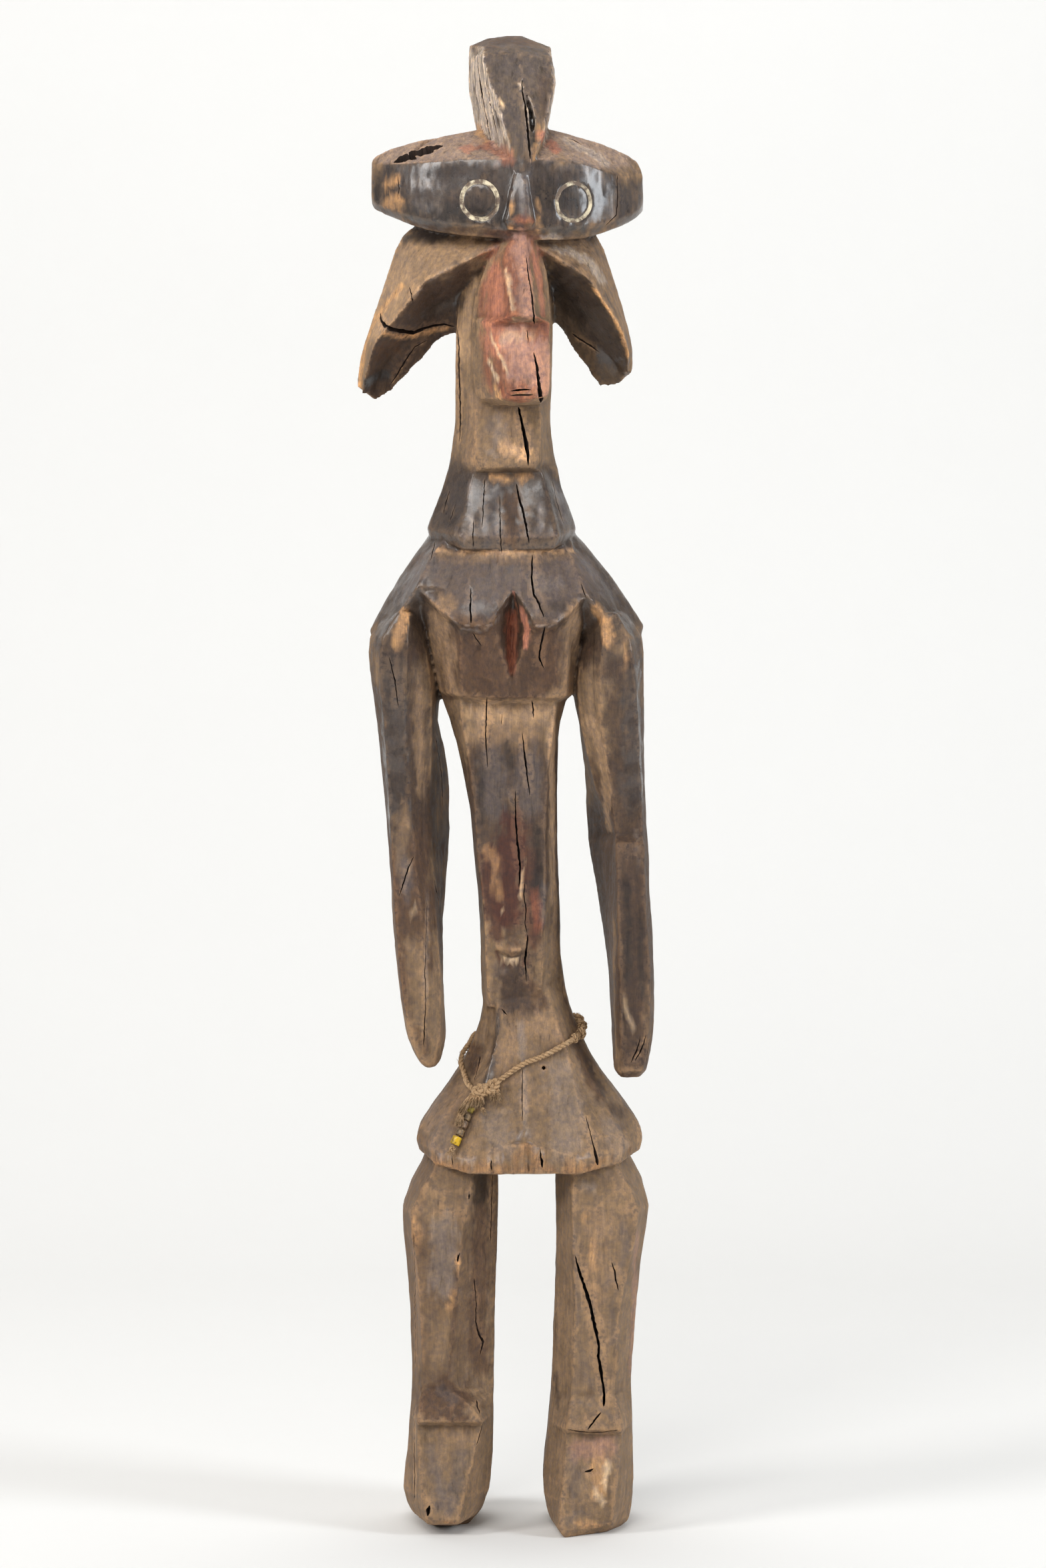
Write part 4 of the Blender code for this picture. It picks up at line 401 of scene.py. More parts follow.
    ("umber", 0.8, 6, [(46.5, 328.8), (54.5, 311.1), (63.4, 293.8)]),
    ("patina", 0.5, 2.8, [(54.6, 315.2), (65.7, 293.5)]),
    # Thin pale lines along the hip rim's lobes: painted highlights
    ("painted_sheen", 0.7, 0.9, [(12.9, 273.8), (15.6, 265.4), (22.7, 259), (32.4, 254.4), (45.2, 253.4),
     (55.5, 254.8)]),
    ("painted_sheen", 0.7, 0.9, [(11.2, 274.2), (8.9, 267), (3.6, 255.4), (-5.2, 253.1), (-25.6, 253.3),
     (-48, 255.2)]),
    ("rim", 0.95, 3.2, [(-48, 249.8), (-25.6, 247.1), (-7.9, 246.9), (14.3, 248.4), (40.8, 246.8),
     (60.8, 248.2)]),
    ("rim", 0.95, 4.6, [(6.3, 253.7), (12.9, 260.8), (21.3, 253.7)]),
    ("rim", 0.8, 2.3, [(63.1, 251.6), (83.5, 257.3)]),
    ("khaki", 0.7, 13.9, [(-41.3, 235.5), (-45.7, 220.2)]),
    ("painted_sheen", 0.36, 10.2, [(-41.3, 206.7), (-41.3, 188.5), (-42.7, 167.9)]),
    ("ochre", 0.44, 3.7, [(-60.4, 209), (-57.7, 197.6)]),
    ("umber", 0.5, 3.7, [(-59.1, 202.2), (-55.6, 188.5)]),
    # A dark strip on the inner left thigh under the skirt: partly dark wood, partly painted shadow
    ("soot", 0.75, 6.9, [(-16, 238.6), (-16.1, 225.1)]),
    ("umber", 0.7, 7.4, [(-17, 213.8), (-17.9, 177.3), (-18.8, 140.9), (-17.1, 108.7)]),
    ("ochre", 0.7, 1.6, [(-31.5, 186.7), (-32.9, 178.5)]),
    ("ochre", 0.62, 1.9, [(-34.3, 163.4), (-37.4, 151.1)]),
    ("khaki", 0.7, 9.2, [(-43.7, 140.6), (-42.8, 115.7)]),
    ("umber", 0.6, 1.9, [(-32.9, 177.1), (-33.9, 152), (-35.7, 124.7), (-38.4, 106.7)]),
    ("tan", 0.6, 3.2, [(-59.7, 178.9), (-58, 142.2), (-57.3, 110.2)]),
    ("umber", 0.9, 12, [(-43.7, 94.5), (-32.5, 90.5), (-50.3, 87.7)]),
    ("slate_and_sheen", 0.3, 4.6, [(-43.7, 95.7), (-34.8, 91.3)]),
    ("umber", 0.8, 2.3, [(-45.8, 79.8), (-25.8, 78.9)]),
    ("tan", 0.6, 7.4, [(-43.7, 69.3), (-25.9, 69.3)]),
    ("slate_and_sheen", 0.39, 4.6, [(-50.4, 56.1), (-45.8, 38.9), (-42.7, 24.1)]),
    ("slate_and_sheen", 0.39, 4.2, [(-29.4, 53.9), (-32.9, 36.8), (-35.5, 19.7)]),
    ("slate_and_sheen", 0.32, 5.6, [(-40, 30.4), (-39.1, 16.2)]),
    ("tan", 0.6, 3.7, [(-64.7, 63), (-66.5, 36.3), (-64.1, 23.8)]),
    ("tan", 0.5, 3.2, [(-19.2, 53.2), (-21.5, 25.8)]),
    ("rim", 0.9, 1.1, [(-45.8, 10.3), (-33.8, 9.3)]),
    # A dark line under the left toe: painted shadow where the raised toe meets the floor
    ("soot", 0.9, 1.9, [(-44.2, 1), (-36.1, 1)]),
    ("tan", 0.6, 9.2, [(60.9, 211.2), (61, 188.6), (61, 161.4)]),
    ("ochre", 0.48, 2.8, [(54.2, 215.7), (52.5, 211.2)]),
    ("ochre", 0.53, 3.2, [(57.8, 195.4), (58.8, 179.5)]),
    ("painted_sheen", 0.33, 3.7, [(52, 235.5), (58.7, 233.3)]),
    ("slate_and_sheen", 0.34, 3.2, [(78.7, 206.7), (81, 193.2), (76.6, 177.3), (68.6, 168.2)]),
    ("slate_and_sheen", 0.29, 2.3, [(46.3, 209), (46.7, 179.5), (49, 141)]),
    ("slate_and_sheen", 0.26, 2.8, [(71.3, 156.8), (72.2, 129.6)]),
    ("khaki", 0.7, 7.4, [(56.6, 134.2), (54.4, 98)]),
    ("slate_and_sheen", 0.29, 2.3, [(49, 125.1), (54.4, 107), (58, 100.3)]),
    ("rose", 0.35, 3.7, [(87.7, 201.4), (86.9, 153.5), (84.4, 107.7)]),
    ("khaki", 0.8, 6.5, [(49.9, 79.1), (65.5, 77)]),
    ("slate_and_sheen", 0.32, 1.4, [(44.6, 88.2), (54.4, 87.8), (63.3, 84.1), (73.9, 78.7)]),
    ("rose", 0.5, 9.2, [(49.9, 58.5), (65.5, 58.6)]),
    ("ochre", 0.53, 5.6, [(61, 49.8), (63.2, 30.3)]),
    ("pale", 0.7, 1.9, [(68.6, 49), (66.8, 34.6)]),
    ("pale", 0.7, 1.9, [(59.7, 29.9), (64.6, 22.9)]),
    ("slate_and_sheen", 0.34, 4.2, [(44.6, 54.2), (47.7, 39), (45.4, 30.5)]),
    ("slate_and_sheen", 0.32, 2.8, [(40.9, 12.1), (52.1, 17.3)]),
    ("slate_and_sheen", 0.26, 1.9, [(74.9, 65.1), (74.8, 45.5)]),
    ("tan", 0.5, 4.2, [(38.8, 66.5), (35.7, 35.7)]),
    ("patina", 0.6, 1.9, [(33.6, 103.7), (34.9, 82.3)]),
    ("ochre", 0.53, 1.9, [(47.6, 9.1), (63.3, 6.5)]),
]

# The incised rings of the eyes: x and z of the middle in mm, and width of the line
EYES = [((-17.0, 887.0), 2.3), ((45.3, 886.4), 2.2)]
EYE_RADIUS = 11.9

# Ways of the hip cord and of the bead string, in mm, and how closely each is followed, in metres
CORD_WAY = [
    (-4.63, -36.62, 304.36), (1.29, -36.03, 308.54), (7.41, -35.55, 312.72), (13.66, -35.59, 316.47),
    (20.68, -34.65, 318.94), (27.27, -32.77, 321.6), (33.63, -31.17, 324.86), (40.52, -29.56, 328.51),
    (44.16, -22.36, 329.96), (47.4, -16.05, 331.58), (51.0, -9.84, 334.15), (52.04, -2.65, 336.75),
    (50.41, 4.33, 338.8), (49.63, 11.6, 341.01), (48.6, 18.92, 342.51), (42.68, 25.49, 342.35),
    (37.93, 31.57, 342.57), (30.8, 35.89, 341.87), (23.52, 36.52, 340.37), (16.08, 38.13, 339.15),
    (8.77, 37.81, 337.6), (1.54, 37.09, 336.08), (-5.65, 36.21, 334.45), (-11.31, 30.87, 332.36),
    (-16.52, 25.8, 330.97), (-21.0, 20.4, 329.7), (-22.9, 13.2, 327.6), (-24.3, 6.5, 325.2),
    (-26.55, -0.11, 322.97), (-29.13, -5.81, 319.05), (-30.1, -10.87, 313.37), (-28.03, -14.9, 307.63),
    (-26.63, -20.62, 303.55), (-24.99, -27.18, 300.67), (-21.11, -32.64, 297.33),
]
STRING_WAY = [
    (-20.32, -39.61, 290.75), (-21.48, -39.9, 288.64), (-22.81, -40.1, 286.52), (-24.1, -40.6, 284.51),
    (-25.25, -41.27, 282.44), (-26.26, -41.85, 280.26), (-27.2, -42.52, 278.12), (-28.11, -43.27, 276.01),
    (-29.09, -44.19, 273.75), (-29.94, -44.92, 271.53), (-30.96, -45.64, 269.27), (-32.13, -46.39, 267.19),
    (-33.17, -46.89, 265.06), (-34.16, -47.26, 262.86), (-35.16, -47.68, 260.53), (-35.89, -47.93, 258.59),
]
CORD_STEP = 0.0009
STRING_STEP = 0.0006

# One ply of the cord: how far out it lies, how thick it is and how far it wanders, as shares of the cord
PLY_REACH = 0.23
PLY_GIRTH = 0.30
PLY_WANDER = 0.18
TIGHT_PITCH = 0.0045

# Turns of the knot: thickness, seed, taper, length of a twist where it is tighter than the cord's (in metres),
# and the way in mm along the skirt, down it and out of it
KNOT_TURNS = [
    (0.0040, 1.2, 0.0, None, [
        (-9.4, -1.2, 0.4), (-7.8, 1.4, 1.2), (-4.6, 3.2, 2.0), (-1.0, 2.6, 2.8), (0.8, 0.2, 3.2),
        (-1.4, -2.2, 3.0), (-5.0, -2.6, 2.4), (-7.8, -0.8, 2.2), (-6.4, 1.6, 3.2), (-3.0, 1.4, 4.0),
        (-0.6, -0.8, 3.4)]),
    (0.0030, 2.6, 0.0, None, [(-3.4, -3.6, 0.6), (-3.8, -1.2, 3.6), (-3.6, 1.4, 4.2), (-3.2, 3.8, 1.2)]),
    (0.0030, 3.4, 0.0, None, [(-0.4, -3.4, 0.6), (-0.8, -1.0, 3.8), (-0.6, 1.6, 4.2), (-0.2, 4.0, 1.0)]),
    (0.0042, 4.7, 0.0, None, [
        (9.2, -3.4, 0.4), (5.6, -2.8, 1.8), (1.8, -1.4, 3.0), (-0.4, 0.8, 3.2), (1.6, 2.6, 2.6),
        (5.2, 2.2, 2.6), (8.4, -0.2, 2.6), (8.8, -2.8, 1.8), (6.0, -3.8, 1.0), (2.4, -3.0, 0.8)]),
    (0.0032, 7.9, 0.0, None, [(4.0, -4.8, 0.6), (4.8, -2.0, 3.8), (4.6, 1.2, 4.2), (4.0, 4.0, 1.0)]),
    (0.0019, 9.1, 0.5, TIGHT_PITCH, [
        (-8.5, 0.8, 1.4), (-15.0, 5.6, 1.2), (-20.0, 12.0, 1.0), (-23.0, 20.0, 0.8)]),
    (0.0016, 9.8, 0.5, TIGHT_PITCH, [
        (-9.5, 2.0, 1.6), (-17.0, 7.0, 1.2), (-22.5, 13.5, 1.0), (-25.5, 19.0, 0.8)]),
    (0.0022, 10.4, 0.4, TIGHT_PITCH, [(8.0, 1.8, 1.6), (7.4, 5.0, 1.6), (5.4, 8.6, 1.0)]),
]
KNOT_OUT = (-0.12, -0.86, 0.40)
KNOT_LIFT = 1.1

# Frays of the knot in the same frame: root, heading, how many, spread, shortest and longest in metres
FRAYS = [
    ((7.5, 2.2, 1.4), (-0.35, 0.94, 0.05), 110, 0.36, 0.004, 0.011),
    ((4.0, 4.0, 1.2), (-0.3, 0.95, 0.05), 60, 0.4, 0.002, 0.006),
    ((-10.0, 1.6, 1.2), (-0.72, 0.69, 0.05), 130, 0.12, 0.008, 0.019),
    ((-7.4, 2.2, 1.0), (-0.4, 0.92, 0.05), 60, 0.3, 0.004, 0.011),
    ((-4.0, 3.4, 1.6), (-0.22, 1.0, 0.05), 50, 0.3, 0.004, 0.010),
    ((-5.5, 12.5, 1.2), (0.1, 0.95, 0.2), 34, 0.6, 0.002, 0.005),
    ((-20.5, 11.0, 1.2), (-0.42, 0.9, 0.1), 80, 0.2, 0.004, 0.011),
]

# Wraps of the side hitch: share of the way along that stretch of cord, radius in metres, and turns
HITCH_STRETCH = (6, 16)
HITCH_WRAPS = [(0.30, 0.0022, 1.6), (0.42, 0.0028, 2.2), (0.60, 0.0025, 1.8), (0.76, 0.0023, 1.7)]

# The small knot at the string's foot, in mm along the string, across it and out
FOOT_KNOT = [
    (-2, -0.3, 0.4), (-1, 1.0, 0.8), (0.6, 1.2, 1.0), (1.4, -0.2, 1.2), (0.2, -1.3, 0.9), (-1.1, -0.6, 0.4),
    (-0.6, 1.1, 0.1), (1.0, 1.0, 0.1), (1.9, -0.4, 0.4),
]

# Thin work in metres: twist of the thin cords, and thickness of the hairs on the cord and on the small knots
THIN_TWIST = 0.004
HITCH_THICK = 0.0023
CORD_HAIR = 0.00013
FINE_HAIR = 0.0001

# Beads from the knot down: colour of the glass, width and length in mm
BEADS = [
    ((0.40, 0.29, 0.045), 4.8, 4.2), ((0.26, 0.17, 0.085), 5.6, 4.6), ((0.27, 0.165, 0.095), 5.8, 5.0),
    ((0.27, 0.17, 0.08), 5.6, 4.6), ((0.66, 0.40, 0.012), 6.6, 5.6),
]

CAMERA_PLACE = (0.0116, -3.19575, 0.65)
CAMERA_TILT = 87.32265
CAMERA_LENS = 109.3246

# Soft lights: name, place, what each looks at, size and colour
LIGHTS = [
    ("front", (-0.7, -2.5, 2.4), (0, 0, 0.55), (1.6, 1.2), (1.0, 0.99, 0.97)),
    ("key", (-2.3, -1.45, 1.8), (0, 0, 0.55), (0.8, 1.3), (1.0, 0.99, 0.98)),
    ("fill", (2.4, -1.2, 1.25), (0, 0, 0.55), (0.7, 1.6), (0.90, 0.95, 1.0)),
    ("top", (0, 0.75, 3.1), (0, 1.3, 0), (2.6, 1.2), (1.0, 0.995, 0.985)),
]
ROOM_COLOUR = (1.0, 0.995, 0.985, 1.0)

# The sweep of paper: front edge, where it starts to bend, radius of the bend, height and half its width
SWEEP = (-3.6, 1.1, 0.9, 3.6, 3.5)

# Grain along the wood and the fibres: broad streaks against fine ones, and how far in metres they wander
BROAD_GRAIN = 0.28
GRAIN_WANDER = (0.006, 0.006, 0.0)

# Flecks and grit against the mottle, and the flecks' limit where there are none and where there are most
FLECK_SIZE, GRIT_SIZE = 4.5, 12.0
FLECK_LIMIT = (0.72, 0.51)

# Colours of the finishes: gains on the wood's own tone, and light added to it
COOL, WARM = (0.98, 0.96, 0.99), (1.06, 1.00, 0.88)
SOOT_GAIN, PIT_GAIN = (0.35, 0.32, 0.32), (0.40, 0.35, 0.32)
# The hollow gain darkens the wood in its hollows as painted shade
LINE_GAIN, HOLLOW_SHADE_GAIN = (0.16, 0.12, 0.10), (0.42, 0.37, 0.34)
CRUST_GAIN, CRUST_LIFT = (1.45, 1.35, 1.2), (0.050, 0.030, 0.014)
# The worn gain and lift lighten rubbed arrises: partly wear, partly painted highlight
EDGE_WEAR_AND_HIGHLIGHT_GAIN, EDGE_WEAR_AND_HIGHLIGHT_LIFT = (1.4, 1.3, 1.2), (0.050, 0.034, 0.020)
BARE_CUT, STAINED_CLAY = (0.16, 0.115, 0.085, 1), (0.42, 0.27, 0.13, 1)
# The fibre gap is painted shade between the plies
FIBRE_DUST, FIBRE_GAP_SHADE = (0.60, 0.43, 0.26, 1.0), (0.045, 0.024, 0.012, 1.0)

# Heights in mm over which the crest, the hatching on its front and the crown begin, and how far its sides
# face outward where their wood is bare
CREST = (915, 945)
CREST_SIDES = (0.35, 0.75)
CREST_FRONT = (860, 870)
CROWN = (905, 915)

# Forms of the surface: size in mm, layers of detail, and stretch across, through and along the wood
SLOW_WAVES = (26, 2)
SCALLOPS = (9, 2, (1, 1, 1.9))
GRAIN = (1.7, 2, (1, 1, 22))
HATCH_ABOVE = (1.3, 2, (16, 1, 1))
HATCH_BELOW = (1.3, 2, (1, 1, 14))

# Relief of the grain: everywhere, and what the sides of the crest and the top of the crown add
GRAIN_DEPTHS = (0.16, 1.6, 0.7)

# Splits: step along them and wander aside in mm, spread of their width, and their lips above the wood in metres
SPLIT_STEP, SPLIT_WANDER = 2.0, 0.22
SPLIT_WIDTHS = (0.75, 1.2)
SPLIT_LIP = 0.0007

# Edges of the tones all round: share of slow and of ragged noise, where they fade, and how the wood has to face
ZONE_NOISE = (0.28, 0.12)
ZONE_FADE = (0.0, 0.35)
ZONE_FACING = (0.42, 0.62)

# Edges of the brushed tones: share of ragged and of fine noise, where they fade, and where the sides stop them
BRUSH_NOISE = (0.40, 0.36)
BRUSH_FADE = (-0.10, 0.44)
BRUSH_FACING = (-0.35, 0.1)

# Height in metres that counts as a full arris, and the crease angle of the figure and of the beads
ARRIS = 0.0006
CREASE = math.radians(40)


class CarvingSettings(PropertyGroup):
    cell: FloatProperty(
        name="Cell", description="Fineness of the carved surface", default=0.0011, unit="LENGTH"
    )
    softening: IntProperty(name="Softening", description="How far the arrises are worn round", default=2)
    unevenness: FloatProperty(
        name="Unevenness", description="Slow rise and fall of the tooled surface", default=0.0005, unit="LENGTH"
    )
    grain_relief: FloatProperty(
        name="Grain Relief", description="Depth of the weathered grain", default=0.0005, unit="LENGTH"
    )
    tool_relief: FloatProperty(
        name="Tool Relief", description="Depth of the adze's scallops", default=0.0004, unit="LENGTH"
    )
    triangles: IntProperty(name="Triangles", description="Most triangles on the figure", default=176000)
    # The cracks' walls near black: partly the split wood's own darkness, partly painted shade
    split_shade_colour: FloatVectorProperty(
        name="Split", description="Wood deep in the cracks", subtype="COLOR", default=(0.016, 0.008, 0.005)
    )
    kaolin_colour: FloatVectorProperty(
        name="Kaolin", description="White clay in the eye rings", subtype="COLOR", default=(0.80, 0.70, 0.50)
    )


class FibreSettings(PropertyGroup):
    diameter: FloatProperty(name="Cord", description="Cord's thickness", default=0.0036, unit="LENGTH")
    string: FloatProperty(name="String", description="Bead string's thickness", default=0.0012, unit="LENGTH")
    pitch: FloatProperty(
        name="Twist", description="Length of one turn of the plies", default=0.0062, unit="LENGTH"
    )
    colour: FloatVectorProperty(
        name="Fibre", description="Dry plant fibre", subtype="COLOR", default=(0.50, 0.315, 0.165)
    )
    stray: IntProperty(name="Stray Fibres", description="Loose fibres along the cord", default=420)


class StageSettings(PropertyGroup):
    paper: FloatVectorProperty(
        name="Paper", description="Pale floor and backdrop", subtype="COLOR", default=(0.855, 0.85, 0.835)
    )
    front_power: FloatProperty(
        name="Front", description="Large soft light above the viewer, in watts", default=44.0
    )
    key_power: FloatProperty(name="Key", description="Soft light at the left, in watts", default=37.0)
    fill_power: FloatProperty(name="Fill", description="Soft light at the right, in watts", default=41.0)
    top_power: FloatProperty(name="Top", description="Light on the backdrop from above, in watts", default=28.0)
    sky: FloatProperty(name="Sky", description="Strength of the room's own light", default=0.24)


# Small helpers

def start_fresh():
    if bpy.context.object and bpy.context.object.mode != "OBJECT":
        bpy.ops.object.mode_set(mode="OBJECT")
    bpy.ops.object.select_all(action="DESELECT")


def pick(thing):
    start_fresh()
    thing.select_set(True)
    bpy.context.view_layer.objects.active = thing


def apply_modifier(thing, kind, **values):
    """Adds a modifier with the given values and applies it."""
    pick(thing)
    bpy.ops.object.modifier_add(type=kind)
    step = thing.modifiers[-1]
    for name, value in values.items():
        setattr(step, name, value)
    bpy.ops.object.modifier_apply(modifier=step.name)


def mesh_object(name, vertices, faces, finish):
    mesh = bpy.data.meshes.new(name)
    mesh.from_pydata(vertices, [], faces)
    mesh.validate()
    made = bpy.data.objects.new(name, mesh)
    bpy.context.scene.collection.objects.link(made)
    mesh.materials.append(finish)
    return made


def vertex_array(mesh, what="co"):
    values = np.empty(len(mesh.vertices) * 3, np.float32)
    if what == "co":
        mesh.vertices.foreach_get("co", values)
    else:
        mesh.vertex_normals.foreach_get("vector", values)
    return values.reshape(-1, 3).astype(np.float64)


def ramp(values, low, high):
    """0 below low, 1 above high and smooth between."""
    t = np.clip((values - low) / (high - low), 0, 1)
    return t * t * (3 - 2 * t)


def fractal(places, size, octaves=3, stretch=(1, 1, 1)):
    """Even noise from about -1 to 1, with forms of the given size in mm."""
    scale = Vector(1 / (size * s) for s in stretch)
    return np.array([
        noise.fractal((x * scale.x, y * scale.y, z * scale.z), 0.7, 2.0, octaves) for x, y, z in places
    ])


def surface_of(mesh):
    """A mesh's surface, to lay and to cast things onto."""
    return BVHTree.FromPolygons([v.co for v in mesh.vertices], [tuple(p.vertices) for p in mesh.polygons])


def stood_on(point, normal):
    """The matrix that stands a thing on a point, its own z along the normal."""
    return Matrix.Translation(point) @ Vector((0, 0, 1)).rotation_difference(normal).to_matrix().to_4x4()


def join_meshes(gathered, more):
    """Adds vertices, faces and colours to those gathered so far."""
    base = len(gathered[0])
    gathered[0].extend(more[0])
    gathered[1].extend(tuple(base + i for i in face) for face in more[1])
    gathered[2].extend(more[2])


# Node helpers

def set_inputs(tree, node, inputs):
    """Links or sets a node's inputs by name or number."""
    for name, value in inputs.items():
        if isinstance(value, bpy.types.NodeSocket):
            tree.links.new(value, node.inputs[name])
        else:
            node.inputs[name].default_value = value


def put(tree, kind, inputs=None, **values):
    """A node with its properties set, and its inputs linked or set."""
    node = tree.nodes.new(kind)
    for name, value in values.items():
        setattr(node, name, value)
    set_inputs(tree, node, inputs or {})
    return node


def blend_colour(tree, factor, first, second):
    return put(tree, "ShaderNodeMix", {0: factor, 6: first, 7: second}, data_type="RGBA").outputs[2]


def sums(tree, operation, first, *others):
    """Adds, multiplies or compares values from left to right."""
    for other in others:
        first = put(tree, "ShaderNodeMath", {0: first, 1: other}, operation=operation).outputs[0]
    return first


def times(tree, *factors):
    return sums(tree, "MULTIPLY", *factors)


def window(tree, value, low, high, to_low=0.0, to_high=1.0):
    """A value moved from one range to another and held inside it."""
    ends = {"Value": value, "From Min": low, "From Max": high, "To Min": to_low, "To Max": to_high}
    return put(tree, "ShaderNodeMapRange", ends, clamp=True).outputs[0]


def vectors(tree, operation, first, second):
    return put(tree, "ShaderNodeVectorMath", {0: first, 1: second}, operation=operation).outputs[0]


def scaled(tree, colour, gain):
    return vectors(tree, "MULTIPLY", colour, gain)


def swing(tree, value, depth, gain):
    """A factor that swings either side of 1 with a noise value."""
    return sums(tree, "ADD", times(tree, sums(tree, "SUBTRACT", value, 0.5), gain, depth), 1.0)


def cloudy(tree, place, size, detail, roughness=0.5):
    noise_node = put(
        tree, "ShaderNodeTexNoise", {"Vector": place, "Scale": size, "Detail": detail, "Roughness": roughness}
    )
    return noise_node.outputs["Fac"]


def new_group(name, inputs, outputs):
    """An empty group that takes a place and some values, and gives other values."""
    group = bpy.data.node_groups.new(name, "ShaderNodeTree")
    group.interface.new_socket("Place", in_out="INPUT", socket_type="NodeSocketVector")
    for title in inputs:
        group.interface.new_socket(title, in_out="INPUT", socket_type="NodeSocketFloat")
    for title in outputs:
        group.interface.new_socket(title, in_out="OUTPUT", socket_type="NodeSocketFloat")
    return group, group.nodes.new("NodeGroupInput").outputs, group.nodes.new("NodeGroupOutput")


def grain_group():
    """Long fibres of wood or cord: a fine streak and a broad streak that wander a little."""
    tree, given, out = new_group("long_grain", ("Size", "Stretch"), ("Fine", "Broad"))
    along = put(tree, "ShaderNodeCombineXYZ", {0: 1.0, 1: 1.0, 2: given["Stretch"]}).outputs[0]
    wander = put(tree, "ShaderNodeTexNoise", {"Vector": given["Place"], "Scale": 35.0, "Detail": 1.0})
    shift = scaled(tree, wander.outputs["Color"], GRAIN_WANDER)
    place = scaled(tree, vectors(tree, "ADD", given["Place"], shift), along)
    set_inputs(tree, out, {
        "Fine": cloudy(tree, place, given["Size"], 3.0, 0.6),
        "Broad": cloudy(tree, place, times(tree, given["Size"], BROAD_GRAIN), 4.0, 0.55),
    })
    return tree


def grime_group():
    """Blotches and specks: a soft mottle, a ragged fleck mask and a fine grit."""
    tree, given, out = new_group("grime", ("Size", "Amount"), ("Mottle", "Flecks", "Grit"))
    place, size = given["Place"], given["Size"]
    fleck = cloudy(tree, place, times(tree, size, FLECK_SIZE), 3.0, 0.7)
    limit = window(tree, given["Amount"], 0.0, 1.0, *FLECK_LIMIT)
    set_inputs(tree, out, {
        "Mottle": cloudy(tree, place, size, 5.0, 0.62),
        "Flecks": window(tree, sums(tree, "SUBTRACT", fleck, limit), 0.0, 0.07),
        "Grit": cloudy(tree, place, times(tree, size, GRIT_SIZE), 2.0),
    })
    return tree


def grain_at(tree, place, size, stretch):
    group = bpy.data.node_groups.get("long_grain") or grain_group()
    given = {"Place": place, "Size": size, "Stretch": stretch}
    return put(tree, "ShaderNodeGroup", given, node_tree=group).outputs


def grime_at(tree, place, size, amount):
    group = bpy.data.node_groups.get("grime") or grime_group()
    given = {"Place": place, "Size": size, "Amount": amount}
    return put(tree, "ShaderNodeGroup", given, node_tree=group).outputs


def new_material(name):
    """A material, its node tree, its surface and the place on the object."""
    made = bpy.data.materials.new(name)
    made.use_nodes = True
    tree = made.node_tree
    return made, tree, tree.nodes["Principled BSDF"], put(tree, "ShaderNodeTexCoord").outputs["Object"]


def surface_with(tree, shader, colour, roughness, height, strength, depth):
    """Gives a surface its colour, its roughness and its fine height, the depth in metres."""
    bump = put(tree, "ShaderNodeBump", {"Height": height, "Strength": strength, "Distance": depth})
    set_inputs(tree, shader, {"Base Color": colour, "Roughness": roughness, "Normal": bump.outputs[0]})


def opaque(colour, gain=1.0):
    return tuple(gain * c for c in colour) + (1.0,)


# Finishes

